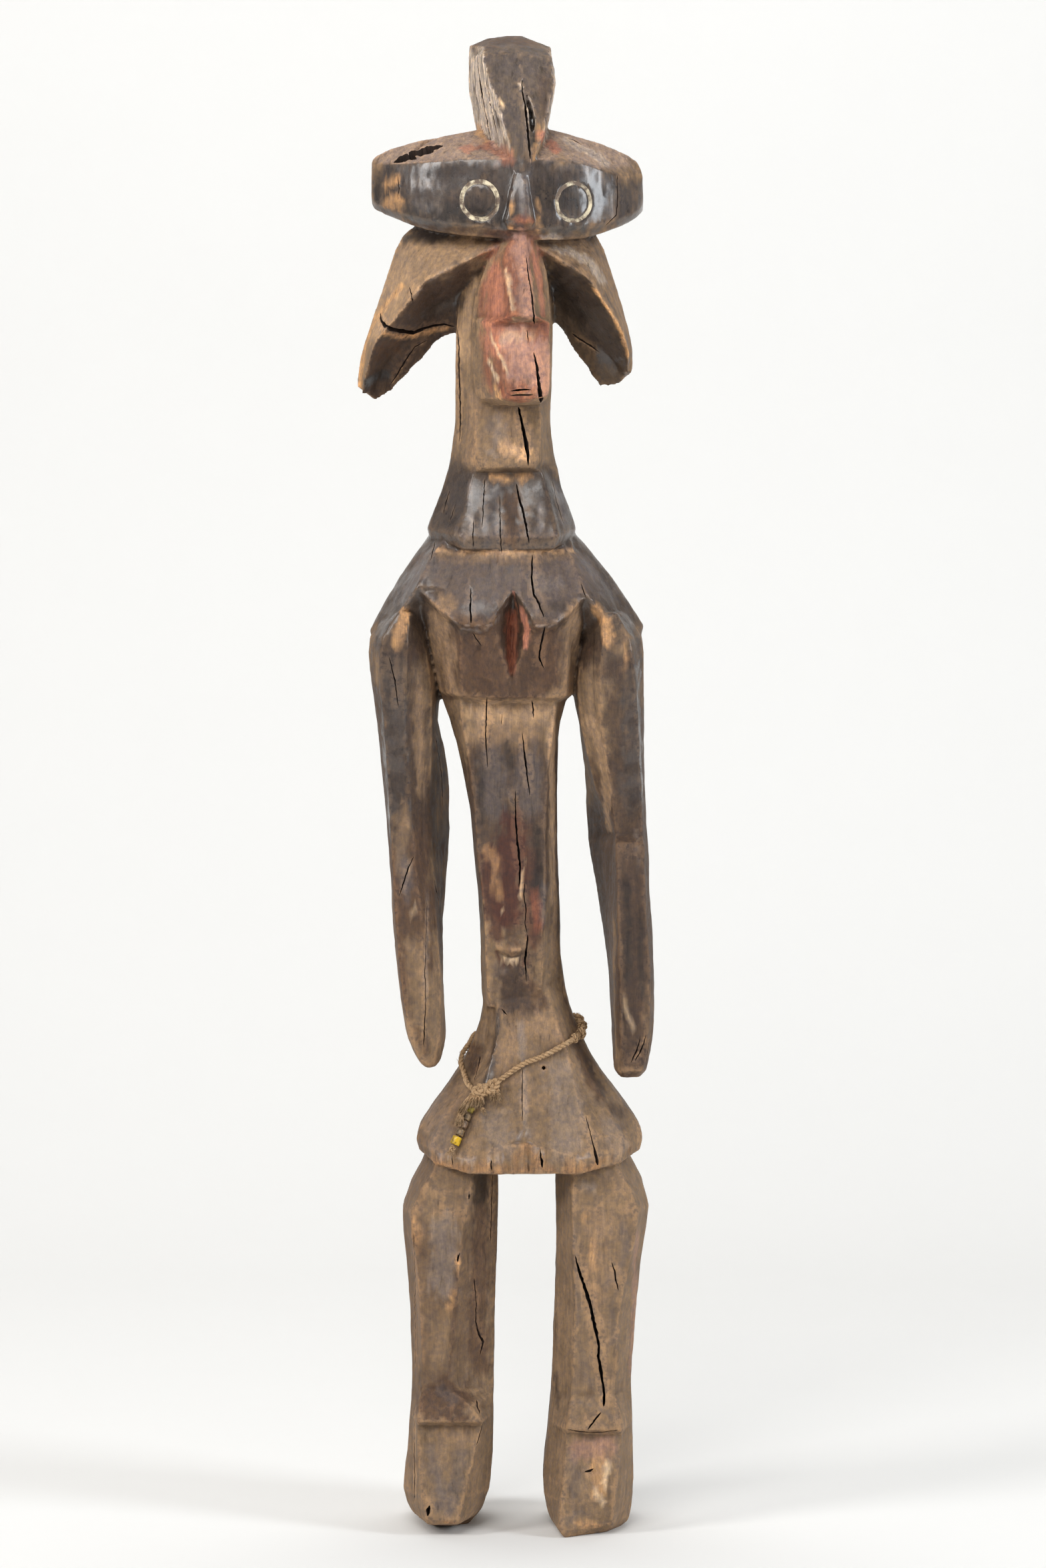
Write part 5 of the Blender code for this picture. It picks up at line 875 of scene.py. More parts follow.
def aged_wood():
    """Old dark wood: brushed tones broken by grain, soot, specks and blotches, oiled where it is dark; its
    arrises are lightened as rubbed wear and partly painted highlight, and its hollows darkened with painted
    shade.
    """
    made, tree, shader, place = new_material("aged_wood")
    tone = put(tree, "ShaderNodeAttribute", attribute_name="tone").outputs["Color"]
    finish = put(tree, "ShaderNodeAttribute", attribute_name="finish").outputs["Color"]
    gloss, weather, arris = put(tree, "ShaderNodeSeparateColor", {0: finish}).outputs
    grain = grain_at(tree, place, 900.0, 0.05)
    grime = grime_at(tree, place, 300.0, weather)
    broad = grime_at(tree, place, 60.0, 0.4)["Mottle"]
    mottle = grime["Mottle"]

    def by_weather(low, high, full=1.0):
        return window(tree, weather, 0.0, full, low, high)

    depth = by_weather(0.35, 1.3)
    threads = times(tree, swing(tree, grain["Broad"], depth, 1.5), swing(tree, grain["Fine"], depth, 1.6))
    clouds = times(tree, swing(tree, mottle, 1.0, 0.95), swing(tree, broad, 1.0, 0.9))
    shade = sums(tree, "MAXIMUM", times(tree, threads, clouds), 0.12)
    cool, warm = scaled(tree, tone, COOL), scaled(tree, tone, WARM)
    hue = blend_colour(tree, window(tree, mottle, 0.40, 0.58), cool, warm)
    varied = put(tree, "ShaderNodeVectorMath", {0: hue, "Scale": shade}, operation="SCALE").outputs[0]
    soot = times(tree, window(tree, broad, 0.52, 0.57), window(tree, gloss, 0.3, 0.7), 0.4)
    colour = blend_colour(tree, soot, varied, scaled(tree, varied, SOOT_GAIN))
    crust = vectors(tree, "ADD", scaled(tree, varied, CRUST_GAIN), CRUST_LIFT)
    colour = blend_colour(tree, times(tree, grime["Flecks"], 0.6), colour, crust)
    pit = times(tree, window(tree, grime["Grit"], 0.40, 0.34), by_weather(0.35, 0.75))
    colour = blend_colour(tree, pit, colour, scaled(tree, varied, PIT_GAIN))
    line = times(tree, window(tree, grain["Broad"], 0.35, 0.31), by_weather(0.15, 0.9, 0.7))
    colour = blend_colour(tree, line, colour, scaled(tree, tone, LINE_GAIN))
    # Convex arrises lightened in patches: partly rubbed wear, partly painted highlight
    rubbed = times(tree, window(tree, arris, 0.60, 0.85), window(tree, mottle, 0.36, 0.50), 0.7)
    worn = vectors(tree, "ADD", scaled(tree, colour, EDGE_WEAR_AND_HIGHLIGHT_GAIN), EDGE_WEAR_AND_HIGHLIGHT_LIFT)
    colour = blend_colour(tree, rubbed, colour, worn)
    # Concave hollows darkened: painted shade
    hollow_shade = times(tree, window(tree, arris, 0.40, 0.10), 0.6)
    colour = blend_colour(tree, hollow_shade, colour, scaled(tree, colour, HOLLOW_SHADE_GAIN))

    roughness = sums(
        tree, "ADD", window(tree, gloss, 0.0, 1.0, 0.78, 0.27), window(tree, mottle, 0.3, 0.7, -0.10, 0.16),
        window(tree, grain["Fine"], 0.3, 0.7, -0.06, 0.09),
    )
    height = sums(
        tree, "ADD", times(tree, grain["Fine"], by_weather(0.3, 1.2)),
        times(tree, grain["Broad"], by_weather(0.3, 1.8)), times(tree, grime["Grit"], by_weather(0.20, 0.7)),
        times(tree, mottle, 0.8),
    )
    surface_with(tree, shader, colour, sums(tree, "MAXIMUM", roughness, 0.2), height, 0.7, 0.0007)
    oil = times(tree, window(tree, gloss, 0.5, 0.85, 0.0, 0.95), window(tree, broad, 0.68, 0.44))
    set_inputs(tree, shader, {
        "Coat Weight": oil, "Coat Roughness": 0.2, "Coat IOR": 1.55, "Specular IOR Level": 0.3
    })
    return made


def split_wood(settings):
    """Dark fibres deep in a crack, near black in part as painted shade."""
    made, tree, shader, place = new_material("split_wood")
    grain = grain_at(tree, place, 900.0, 0.08)
    dark, lighter = opaque(settings.split_shade_colour), opaque(settings.split_shade_colour, 2.6)
    colour = blend_colour(tree, window(tree, grain["Fine"], 0.35, 0.75), dark, lighter)
    roughness = window(tree, grain["Broad"], 0.3, 0.7, 0.75, 0.95)
    surface_with(tree, shader, colour, roughness, grain["Fine"], 0.6, 0.0004)
    return made


def kaolin(settings):
    """White clay rubbed into a cut, patchy and chalky."""
    made, tree, shader, place = new_material("kaolin")
    grime = grime_at(tree, place, 170.0, 0.5)
    clay = opaque(settings.kaolin_colour)
    colour = blend_colour(tree, window(tree, grime["Mottle"], 0.42, 0.6), BARE_CUT, clay)
    colour = blend_colour(tree, times(tree, grime["Flecks"], 0.6), colour, STAINED_CLAY)
    height = sums(tree, "ADD", grime["Grit"], grain_at(tree, place, 800.0, 0.3)["Fine"])
    surface_with(tree, shader, colour, window(tree, grime["Mottle"], 0.3, 0.7, 0.7, 0.95), height, 0.4, 0.0003)
    return made


def plant_fibre(settings):
    """Dry twisted bast: fine threads along each ply, dusty on the outside and with painted shade between the
    plies.
    """
    made, tree, shader, place = new_material("twisted_bast")
    ply = put(tree, "ShaderNodeAttribute", attribute_name="ply").outputs["Color"]
    around, along, outward = put(tree, "ShaderNodeSeparateColor", {0: ply}).outputs
    laid = put(tree, "ShaderNodeCombineXYZ", {0: around, 1: along, 2: 0.0}).outputs[0]
    threads = cloudy(tree, laid, 5.0, 4.0, 0.65)
    grime = grime_at(tree, place, 220.0, 0.5)
    dark, dry = opaque(settings.colour, 0.32), opaque(settings.colour)
    colour = blend_colour(tree, window(tree, threads, 0.34, 0.54), dark, dry)
    colour = blend_colour(tree, window(tree, grime["Mottle"], 0.5, 0.75, 0.0, 0.55), colour, FIBRE_DUST)
    # Darker towards the cord's middle: painted shade between the plies
    colour = blend_colour(tree, window(tree, outward, 0.82, 0.52, 0.0, 0.9), colour, FIBRE_GAP_SHADE)
    height = sums(tree, "ADD", threads, grime["Grit"])
    surface_with(tree, shader, colour, window(tree, threads, 0.3, 0.7, 0.95, 0.78), height, 0.7, 0.0003)
    return made


def bead_glass(number, tint):
    """Old worn bead: milky yellow under brown grime, with a smooth shine left on its high parts."""
    made, tree, shader, place = new_material(f"bead_{number}_glass")
    grime = grime_at(tree, place, 330.0, 0.4)
    fresh = (min(1, tint[0] * 1.5), min(1, tint[1] * 1.45), tint[2] * 2.2 + 0.01, 1.0)
    colour = blend_colour(tree, window(tree, grime["Mottle"], 0.56, 0.4), opaque(tint), opaque(tint, 0.36))
    colour = blend_colour(tree, times(tree, grime["Flecks"], 0.6), colour, fresh)
    height = sums(tree, "ADD", grime["Mottle"], times(tree, grain_at(tree, place, 1500.0, 1.0)["Fine"], 0.4))
    surface_with(tree, shader, colour, window(tree, grime["Mottle"], 0.35, 0.6, 0.6, 0.26), height, 0.4, 0.0003)
    return made


def studio_paper(settings):
    """Pale matt paper, clear from behind so that the figure is seen from its back as well."""
    made, tree, shader, place = new_material("studio_paper")
    mottle = grime_at(tree, place, 6.0, 0.2)["Mottle"]
    behind = put(tree, "ShaderNodeNewGeometry").outputs["Backfacing"]
    set_inputs(tree, shader, {
        "Base Color": blend_colour(tree, mottle, opaque(settings.paper), opaque(settings.paper, 0.985)),
        "Roughness": window(tree, mottle, 0.3, 0.7, 0.8, 0.95),
        "Specular IOR Level": 0.2,
        "Alpha": window(tree, behind, 0.0, 1.0, 1.0, 0.0),
    })
    return made

# The stage

def aim(thing, place, target):
    thing.location = place
    thing.rotation_euler = (Vector(target) - Vector(place)).to_track_quat("-Z", "Y").to_euler()


def soft_light(name, place, target, size, power, colour):
    bpy.ops.object.light_add(type="AREA", location=place)
    lamp = bpy.context.object
    lamp.name = name
    lamp.data.shape = "RECTANGLE"
    lamp.data.size, lamp.data.size_y = size
    lamp.data.energy = power
    lamp.data.color = colour
    aim(lamp, place, target)
    return lamp


class STATUE_OT_stage(Operator):
    """Sets up the pale sweep, the soft lights and the camera"""
    bl_idname = "statue.stage"
    bl_label = "Stage"

    def execute(self, context):
        settings = context.scene.statue_stage
        start_fresh()
        bpy.ops.object.camera_add(location=CAMERA_PLACE, rotation=(math.radians(CAMERA_TILT), 0, 0))
        camera = context.object
        camera.data.lens = CAMERA_LENS
        camera.data.sensor_width = 36
        camera.data.sensor_fit = "AUTO"
        context.scene.camera = camera
        context.scene.view_settings.view_transform = "Standard"

        start_fresh()
        bpy.ops.mesh.primitive_plane_add(size=1)
        sweep = context.object
        sweep.name = "studio_sweep"
        front, back, bend, top, half = SWEEP
        angles = [math.radians(9 * k) for k in range(1, 11)]
        profile = [(front, 0.0), (back, 0.0)]
        profile += [(back + bend * math.sin(t), bend - bend * math.cos(t)) for t in angles]
        profile.append((back + bend, top))
        verts = [(x, y, z) for y, z in profile for x in (-half, half)]
        faces = [(2 * k, 2 * k + 1, 2 * k + 3, 2 * k + 2) for k in range(len(profile) - 1)]
        sweep.data.clear_geometry()
        sweep.data.from_pydata(verts, [], faces)
        sweep.data.shade_smooth()
        sweep.data.materials.append(studio_paper(settings))

        for name, place, target, size, colour in LIGHTS:
            soft_light(f"{name}_light", place, target, size, getattr(settings, f"{name}_power"), colour)
        world = bpy.data.worlds.new("room_light")
        context.scene.world = world
        world.use_nodes = True
        background = world.node_tree.nodes["Background"]
        set_inputs(world.node_tree, background, {"Color": ROOM_COLOUR, "Strength": settings.sky})
        return {"FINISHED"}


# Cord work

def smooth_way(points, spacing):
    """Evenly spaced points on a smooth curve through the given ones, in metres."""
    ends = [points[0]] + list(points) + [points[-1]]
    fine = []
    for i in range(1, len(ends) - 2):
        a, b, c, d = (Vector(p) for p in ends[i - 1:i + 3])
        for t in (k / 16 for k in range(16)):
            curve = (2 * a - 5 * b + 4 * c - d) * t * t + (3 * (b - c) + d - a) * t ** 3
            fine.append(0.5 * (2 * b + (c - a) * t + curve))
    fine.append(Vector(points[-1]))
    lengths = [0.0]
    for a, b in zip(fine, fine[1:]):
        lengths.append(lengths[-1] + (b - a).length)
    steps = max(2, round(lengths[-1] / spacing))
    way, seek = [], 0
    for k in range(steps + 1):
        goal = lengths[-1] * k / steps
        while seek < len(lengths) - 2 and lengths[seek + 1] < goal:
            seek += 1
        gap = lengths[seek + 1] - lengths[seek]
        way.append(fine[seek].lerp(fine[seek + 1], (goal - lengths[seek]) / gap if gap > 0 else 0))
    return way


def way_frames(way):
    """A steady side and rise across the way at each of its points."""
    tangents = [(way[min(i + 1, len(way) - 1)] - way[max(i - 1, 0)]).normalized() for i in range(len(way))]
    side = tangents[0].orthogonal().normalized()
    frames = []
    for tangent in tangents:
        side = (side - side.dot(tangent) * tangent).normalized()
        frames.append((side.copy(), tangent.cross(side)))
    return frames


def twist_mesh(way, diameter, pitch, plies, sides, shake, seed, taper=0.0):
    """Twisted plies round a way: vertices, faces and the colours that tell the fibre where it is."""
    vertices, faces, coats = [], [], []
    frames = way_frames(way)
    run = 0.0
    runs = [0.0]
    for a, b in zip(way, way[1:]):
        run += (b - a).length
        runs.append(run)
    for ply in range(plies):
        phase = math.tau * ply / plies
        reach = PLY_REACH * diameter if plies > 1 else 0.0
        thick = (PLY_GIRTH if plies > 1 else 0.5) * diameter
        centres = []
        for point, (side, rise), s in zip(way, frames, runs):
            angle = phase + math.tau * s / pitch
            wobble = 1 + PLY_WANDER * noise.noise((s * 300, ply * 9.0, seed))
            centres.append(point + reach * wobble * (math.cos(angle) * side + math.sin(angle) * rise))
        ply_frames = way_frames(centres)
        first = len(vertices)
        for i, (centre, (side, rise)) in enumerate(zip(centres, ply_frames)):
            s = runs[i]
            close = min(s, run - s) / (2.5 * diameter)
            girth = thick * (1 - taper * max(0.0, 1 - close))
            for k in range(sides):
                turn = math.tau * k / sides
                round_ply = (2.2 * math.cos(turn), 2.2 * math.sin(turn) + seed)
                lump = 1 + shake * noise.noise((s * 700 + ply * 40, *round_ply))
                spot = centre + girth * lump * (math.cos(turn) * side + math.sin(turn) * rise)
                vertices.append(spot)
                away = (spot - way[i]).length / (0.5 * diameter)
                lay = math.cos(turn + s * 500)
                coats.append((0.5 + 0.5 * lay, (s * 60) % 1.0, min(1.0, away), 1.0))
        for i in range(len(way) - 1):
            for k in range(sides):
                a, b = first + i * sides + k, first + i * sides + (k + 1) % sides
                faces.append((a, b, b + sides, a + sides))
        faces.append(tuple(first + k for k in reversed(range(sides))))
        last = first + (len(way) - 1) * sides
        faces.append(tuple(last + k for k in range(sides)))
    return vertices, faces, coats


def add_hair(vertices, faces, coats, root, tip, bend, width):
    """One loose fibre as a thin three-sided spike that bends."""
    first = len(vertices)
    axis = (tip - root).normalized()
    side = axis.orthogonal().normalized()
    rise = axis.cross(side)
    steps = 4
    for i in range(steps):
        t = i / steps
        middle = root.lerp(tip, t) + bend * math.sin(math.pi * t)
        for k in range(3):
            turn = math.tau * k / 3
            vertices.append(middle + width * (1 - 0.7 * t) * (math.cos(turn) * side + math.sin(turn) * rise))
            coats.append((0.5, t, 0.9, 1.0))
    vertices.append(tip)
    coats.append((0.5, 1.0, 1.0, 1.0))
    for i in range(steps - 1):
        for k in range(3):
            a, b = first + 3 * i + k, first + 3 * i + (k + 1) % 3
            faces.append((a, b, b + 3, a + 3))
    for k in range(3):
        faces.append((first + 3 * (steps - 1) + k, first + 3 * (steps - 1) + (k + 1) % 3, first + 3 * steps))
    faces.append((first + 2, first + 1, first))


def fibre_object(name, vertices, faces, coats, finish):
    made = mesh_object(name, vertices, faces, finish)
    attribute = made.data.color_attributes.new("ply", "FLOAT_COLOR", "POINT")
    attribute.data.foreach_set("color", np.array(coats, np.float32).ravel())
    pick(made)
    bpy.ops.object.mode_set(mode="EDIT")
    bpy.ops.mesh.select_all(action="SELECT")
    bpy.ops.mesh.normals_make_consistent(inside=False)
    bpy.ops.object.mode_set(mode="OBJECT")
    made.data.shade_smooth()
    return made


def wood_surface():
    """The carved solid's surface, that the cord lies on."""
    return surface_of(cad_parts["figure"].data)


def fibre_finish(context):
    return bpy.data.materials.get("twisted_bast") or plant_fibre(context.scene.statue_fibre)


def way_of(points, spacing):
    return smooth_way([Vector(p) * MM for p in points], spacing)


class STATUE_OT_waist_cord(Operator):
    """Twists the two-ply cord and lays it round the hips"""
    bl_idname = "statue.waist_cord"
    bl_label = "Hip Cord"

    def execute(self, context):
        settings = context.scene.statue_fibre
        way = way_of(CORD_WAY, CORD_STEP)
        vertices, faces, coats = twist_mesh(way, settings.diameter, settings.pitch, 2, 10, 0.3, 3.1)
        rng = random.Random(11)
        surface = wood_surface()
        frames = way_frames(way)
        for _ in range(settings.stray):
            i = rng.randrange(3, len(way) - 6)
            side, rise = frames[i]
            turn = rng.uniform(0, math.tau)
            away = math.cos(turn) * side + math.sin(turn) * rise
            along = (way[i + 3] - way[i]).normalized() * rng.choice((-1, 1))
            root = way[i] + away * 0.40 * settings.diameter
            tip = root + along * rng.uniform(0.0012, 0.004) + away * rng.uniform(0.0002, 0.0014)
            near, normal, _, _ = surface.find_nearest(tip)
            if (tip - near).dot(normal) > 0:
                add_hair(vertices, faces, coats, root, tip, away * rng.uniform(-0.0002, 0.0004), CORD_HAIR)
        cord = fibre_object("hip_cord", vertices, faces, coats, fibre_finish(context))
        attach(cord, "root")
        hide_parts("waist_cord")
        return {"FINISHED"}


def knot_frame():
    """The knot's middle on the skirt, the way along it, the way down and the way out of the skirt."""
    low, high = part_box("cord_knot")
    out = Vector(KNOT_OUT).normalized()
    along = (Vector(CORD_WAY[0]) - Vector(CORD_WAY[-1])).normalized()
    along = (along - along.dot(out) * out).normalized()
    down = along.cross(out)
    return (low + high) / 2, along, -down if down.z > 0 else down, out


def in_frame(axes, values):
    return sum((axis * value for axis, value in zip(axes, values)), Vector())


def local_way(points, spacing):
    """A smooth way, clear of the wood, through points in the knot's own frame: mm along, down and out."""
    middle, *axes = knot_frame()
    surface = wood_surface()
    laid = []
    for point in points:
        spot = middle + in_frame(axes, point) * MM
        near, normal, _, _ = surface.find_nearest(spot)
        laid.append(spot + normal * max(0.0, KNOT_LIFT * MM - (spot - near).dot(normal)))
    return smooth_way(laid, spacing)


class STATUE_OT_cord_knot(Operator):
    """Ties the knot in front of the right hip, with its frayed ends"""
    bl_idname = "statue.cord_knot"
    bl_label = "Knot"

    def execute(self, context):
        settings = context.scene.statue_fibre
        gathered = [], [], []
        for diameter, seed, taper, pitch, points in KNOT_TURNS:
            way = local_way(points, 0.0007)
            join_meshes(gathered, twist_mesh(way, diameter, pitch or settings.pitch, 2, 8, 0.3, seed, taper))
        rng = random.Random(5)
        middle, *axes = knot_frame()
        surface = wood_surface()

        def loose(reach):
            return Vector(rng.uniform(-reach, reach) for _ in range(3))

        for root, heading, count, spread, shortest, longest in FRAYS:
            for _ in range(count):
                start = middle + in_frame(axes, root) * MM + loose(0.0011)
                aim_at = in_frame(axes, heading).normalized() + loose(spread)
                tip = start + aim_at.normalized() * rng.uniform(shortest, longest)
                near, normal, _, _ = surface.find_nearest(tip)
                if (tip - near).dot(normal) < 0.0006:
                    tip = near + normal * rng.uniform(0.0006, 0.0016)
                bend = loose(0.0009)
                add_hair(*gathered, start, tip, bend, rng.uniform(0.0003, 0.00062))
        knot = fibre_object("cord_tie", *gathered, fibre_finish(context))
        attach(knot, "root")
        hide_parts("cord_knot")
        return {"FINISHED"}


class STATUE_OT_hitch(Operator):
    """Ties the small hitch on the cord at the left hip"""
    bl_idname = "statue.hitch"
    bl_label = "Side Hitch"

    def execute(self, context):
        gathered = [], [], []
        way = way_of(CORD_WAY[slice(*HITCH_STRETCH)], CORD_STEP)
        frames = way_frames(way)
        rng = random.Random(8)
        for number, (share, girth, turns) in enumerate(HITCH_WRAPS):
            i = round(share * (len(way) - 1))
            side, rise = frames[i]
            along = (way[i + 1] - way[i - 1]).normalized()
            points = []
            for k in range(round(10 * turns)):
                angle = math.tau * k / 10 + number
                swell = girth * (1 + 0.22 * noise.noise((k * 0.5, number * 3.0, 1.0)))
                drift = along * (k / (10 * turns) - 0.5) * 0.0042
                points.append(way[i] + drift + swell * (math.cos(angle) * side + math.sin(angle) * rise))
            wrap = smooth_way(points, 0.0006)
            join_meshes(gathered, twist_mesh(wrap, HITCH_THICK, THIN_TWIST, 2, 7, 0.35, 20.0 + number, 0.3))
            for _ in range(24):
                angle = rng.uniform(0, math.tau)
                away = math.cos(angle) * side + math.sin(angle) * rise
                start = way[i] + away * girth
                heading = away * rng.uniform(0.2, 1.0) + along * rng.uniform(-0.8, 0.8)
                tip = start + heading * rng.uniform(0.001, 0.0035)
                add_hair(*gathered, start, tip, away * rng.uniform(-0.0003, 0.0003), FINE_HAIR)
        hitch = fibre_object("cord_hitch", *gathered, fibre_finish(context))
        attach(hitch, "root")
        return {"FINISHED"}


class STATUE_OT_bead_string(Operator):
    """Hangs the string of the beads from the knot, with a knot at its foot"""
    bl_idname = "statue.bead_string"
    bl_label = "Bead String"

    def execute(self, context):
        settings = context.scene.statue_fibre
        way = way_of(STRING_WAY, STRING_STEP)
        string = fibre_object(
            "bead_thread", *twist_mesh(way, settings.string, 0.003, 2, 6, 0.2, 9.3), fibre_finish(context)
        )
        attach(string, "root")
        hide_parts("bead_string")

        foot, heading = way[-4], (way[-1] - way[-6]).normalized()
        side = heading.cross(Vector((0, -1, 0))).normalized()
        out = side.cross(heading).normalized()
        if out.y > 0:
            out = -out
        loop = smooth_way([foot + in_frame((heading, side, out), spot) * MM for spot in FOOT_KNOT], 0.0004)
        gathered = twist_mesh(loop, 0.0016, THIN_TWIST, 2, 6, 0.3, 13.0)
        rng = random.Random(21)
        surface = wood_surface()
        for _ in range(70):
            start = foot + heading * rng.uniform(0, 0.0015) + side * rng.uniform(-0.001, 0.001) + out * 0.0005
            spread = heading + side * rng.uniform(-0.9, 0.9) + out * rng.uniform(-0.3, 0.5)
            tip = start + spread * rng.uniform(0.002, 0.006)
            near, normal, _, _ = surface.find_nearest(tip)
            if (tip - near).dot(normal) < 0.0004:
                tip = near + normal * 0.0006
            add_hair(*gathered, start, tip, side * rng.uniform(-0.0004, 0.0004), FINE_HAIR)
        end = fibre_object("bead_thread_end", *gathered, fibre_finish(context))
        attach(end, "root")
        return {"FINISHED"}


class STATUE_OT_beads(Operator):
    """Turns the five old beads and threads them on their string"""
    bl_idname = "statue.beads"
    bl_label = "Beads"

    def execute(self, context):
        rng = random.Random(3)
        way = [Vector(p) * MM for p in STRING_WAY]
        for number, (tint, width, length) in enumerate(BEADS, 1):
            low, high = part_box(f"bead_{number}")
            middle = (low + high) / 2
            nearest = min(range(1, len(way) - 1), key=lambda i: (way[i] - middle).length)
            heading = (way[nearest + 1] - way[nearest - 1]).normalized()
            radius, length = 0.5 * width * MM, length * MM
            start_fresh()
            bpy.ops.mesh.primitive_cylinder_add(vertices=28, radius=radius, depth=length, end_fill_type="NGON")
            bead = context.object
            bead.name = f"glass_bead_{number}"
            bpy.ops.object.mode_set(mode="EDIT")
            bpy.ops.mesh.select_mode(type="FACE")
            bpy.ops.mesh.select_all(action="DESELECT")
            grid = bmesh.from_edit_mesh(bead.data)
            for face in grid.faces:
                face.select = abs(face.normal.z) > 0.9
            bmesh.update_edit_mesh(bead.data)
            bpy.ops.mesh.inset(thickness=radius * 0.55, depth=0)
            bpy.ops.mesh.bridge_edge_loops()
            bpy.ops.mesh.select_all(action="SELECT")
            bpy.ops.mesh.normals_make_consistent(inside=False)
            bpy.ops.object.mode_set(mode="OBJECT")
            apply_modifier(
                bead, "BEVEL", width=0.0006, segments=3, limit_method="ANGLE", angle_limit=CREASE
            )
            apply_modifier(bead, "SUBSURF", levels=1, render_levels=1)
            seed = rng.uniform(0, 50)
            for vert in bead.data.vertices:
                swell = noise.noise(vert.co * 260 + Vector((seed, 0, 0)))
                vert.co += vert.co.normalized() * 0.00028 * swell
            bead.data.transform(stood_on(middle, heading))
            bead.data.shade_smooth()
            bead.data.materials.append(bead_glass(number, tint))
            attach(bead, "root")
            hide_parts(f"bead_{number}")
        return {"FINISHED"}


class STATUE_OT_declare_cords(Operator):
    """Works out the ways of the cord and of the bead string, and does nothing more with them"""
    bl_idname = "statue.declare_cords"
    bl_label = "Cord Lengths"

    def execute(self, context):
        way = way_of(CORD_WAY, CORD_STEP)
        string_way = way_of(STRING_WAY, STRING_STEP)
        return {"FINISHED"}


# The carved figure

def carved_copy():
    """The solid as one closed mesh, ready to be carved finer."""
    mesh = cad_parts["figure"].data.copy()
    mesh.materials.clear()
    figure = bpy.data.objects.new("carved_figure", mesh)
    bpy.context.scene.collection.objects.link(figure)
    pick(figure)
    bpy.ops.object.mode_set(mode="EDIT")
    bpy.ops.mesh.select_all(action="SELECT")
    bpy.ops.mesh.remove_doubles(threshold=0.000002)
    bpy.ops.object.mode_set(mode="OBJECT")
    return figure


def relief(figure, settings):
    """Adze scallops, slow unevenness and weathered grain, each as a push along the surface."""
    mesh = figure.data
    places, facing = vertex_array(mesh), vertex_array(mesh, "normal")
    mm = places * 1000
    slow = fractal(mm, *SLOW_WAVES)
    scallop = 1 - np.abs(fractal(mm + 300, *SCALLOPS)) * 2.2
    grain = fractal(mm + 700, *GRAIN)
    crest = ramp(mm[:, 2], *CREST)
    crown = ramp(mm[:, 2], *CROWN) * (1 - crest)
    sideways = ramp(np.abs(facing[:, 0]), *CREST_SIDES)
    everywhere, at_sides, on_top = GRAIN_DEPTHS
    weathered = everywhere + at_sides * crest * sideways + on_top * crown * ramp(facing[:, 2], 0.2, 0.6)
    push = settings.unevenness * slow + settings.tool_relief * scallop * 0.5
    push += settings.grain_relief * grain * weathered
    foot = ramp(mm[:, 2], 0.4, 4)
    places += facing * (push * foot)[:, None]
    low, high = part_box("figure")
    places = np.clip(places, np.array(low), np.array(high))
    mesh.vertices.foreach_set("co", places.astype(np.float32).ravel())
    mesh.update()


def skin(surface, x, z):
    """Where the front of the figure is met at x and z in mm, and the way it faces there."""
    hit, normal, _, _ = surface.ray_cast(Vector((x * MM, -0.3, z * MM)), Vector((0, 1, 0)))
    return hit, normal


def blade_way(surface, points, rng):
    """Points, facings and widths about every 2 mm along a split, with the wander of torn wood."""
    made = []
    for (x0, z0, w0), (x1, z1, w1) in zip(points, points[1:]):
        steps = max(1, round(math.hypot(x1 - x0, z1 - z0) / SPLIT_STEP))
        for k in range(steps):
            t = k / steps
            made.append((x0 + (x1 - x0) * t, z0 + (z1 - z0) * t, w0 + (w1 - w0) * t))
    made.append(points[-1])
    way = []
    for number, (x, z, width) in enumerate(made):
        inner = 0 < number < len(made) - 1
        shift = rng.uniform(-SPLIT_WANDER, SPLIT_WANDER) if inner else 0
        hit, normal = skin(surface, x + shift, z)
        if hit is None or (way and (hit - way[-1][0]).length < 0.0006):
            continue
        if way and (hit - way[-1][0]).length > 0.012:
            continue
        way.append((hit, normal, width * MM * rng.uniform(*SPLIT_WIDTHS)))
    return way


def blade(builder, way, depth):
    """A thin wedge along a way, its lips just above the surface and its edge in the wood."""
    if len(way) < 2:
        return
    rings = []
    for i, (point, _, width) in enumerate(way):
        near = way[max(i - 2, 0):i + 3]
        normal = sum((n for _, n, _ in near), Vector()).normalized()
        along = (way[min(i + 1, len(way) - 1)][0] - way[max(i - 1, 0)][0]).normalized()
        side = normal.cross(along).normalized()
        end = i in (0, len(way) - 1)
        half = width * 0.5 * (0.35 if end else 1)
        deep = depth * (0.3 if end else min(1.0, 0.45 + 0.35 * min(i, len(way) - 1 - i)))
        wide = half * (deep + SPLIT_LIP) / deep
        lip = point + normal * SPLIT_LIP
        corners = (lip + side * wide, lip - side * wide, point - normal * deep)
        rings.append([builder.verts.new(c) for c in corners])
    for a, b in zip(rings, rings[1:]):
        for k in range(3):
            j = (k + 1) % 3
            builder.faces.new((a[k], a[j], b[j], b[k]))
    builder.faces.new(rings[0])
    builder.faces.new(list(reversed(rings[-1])))


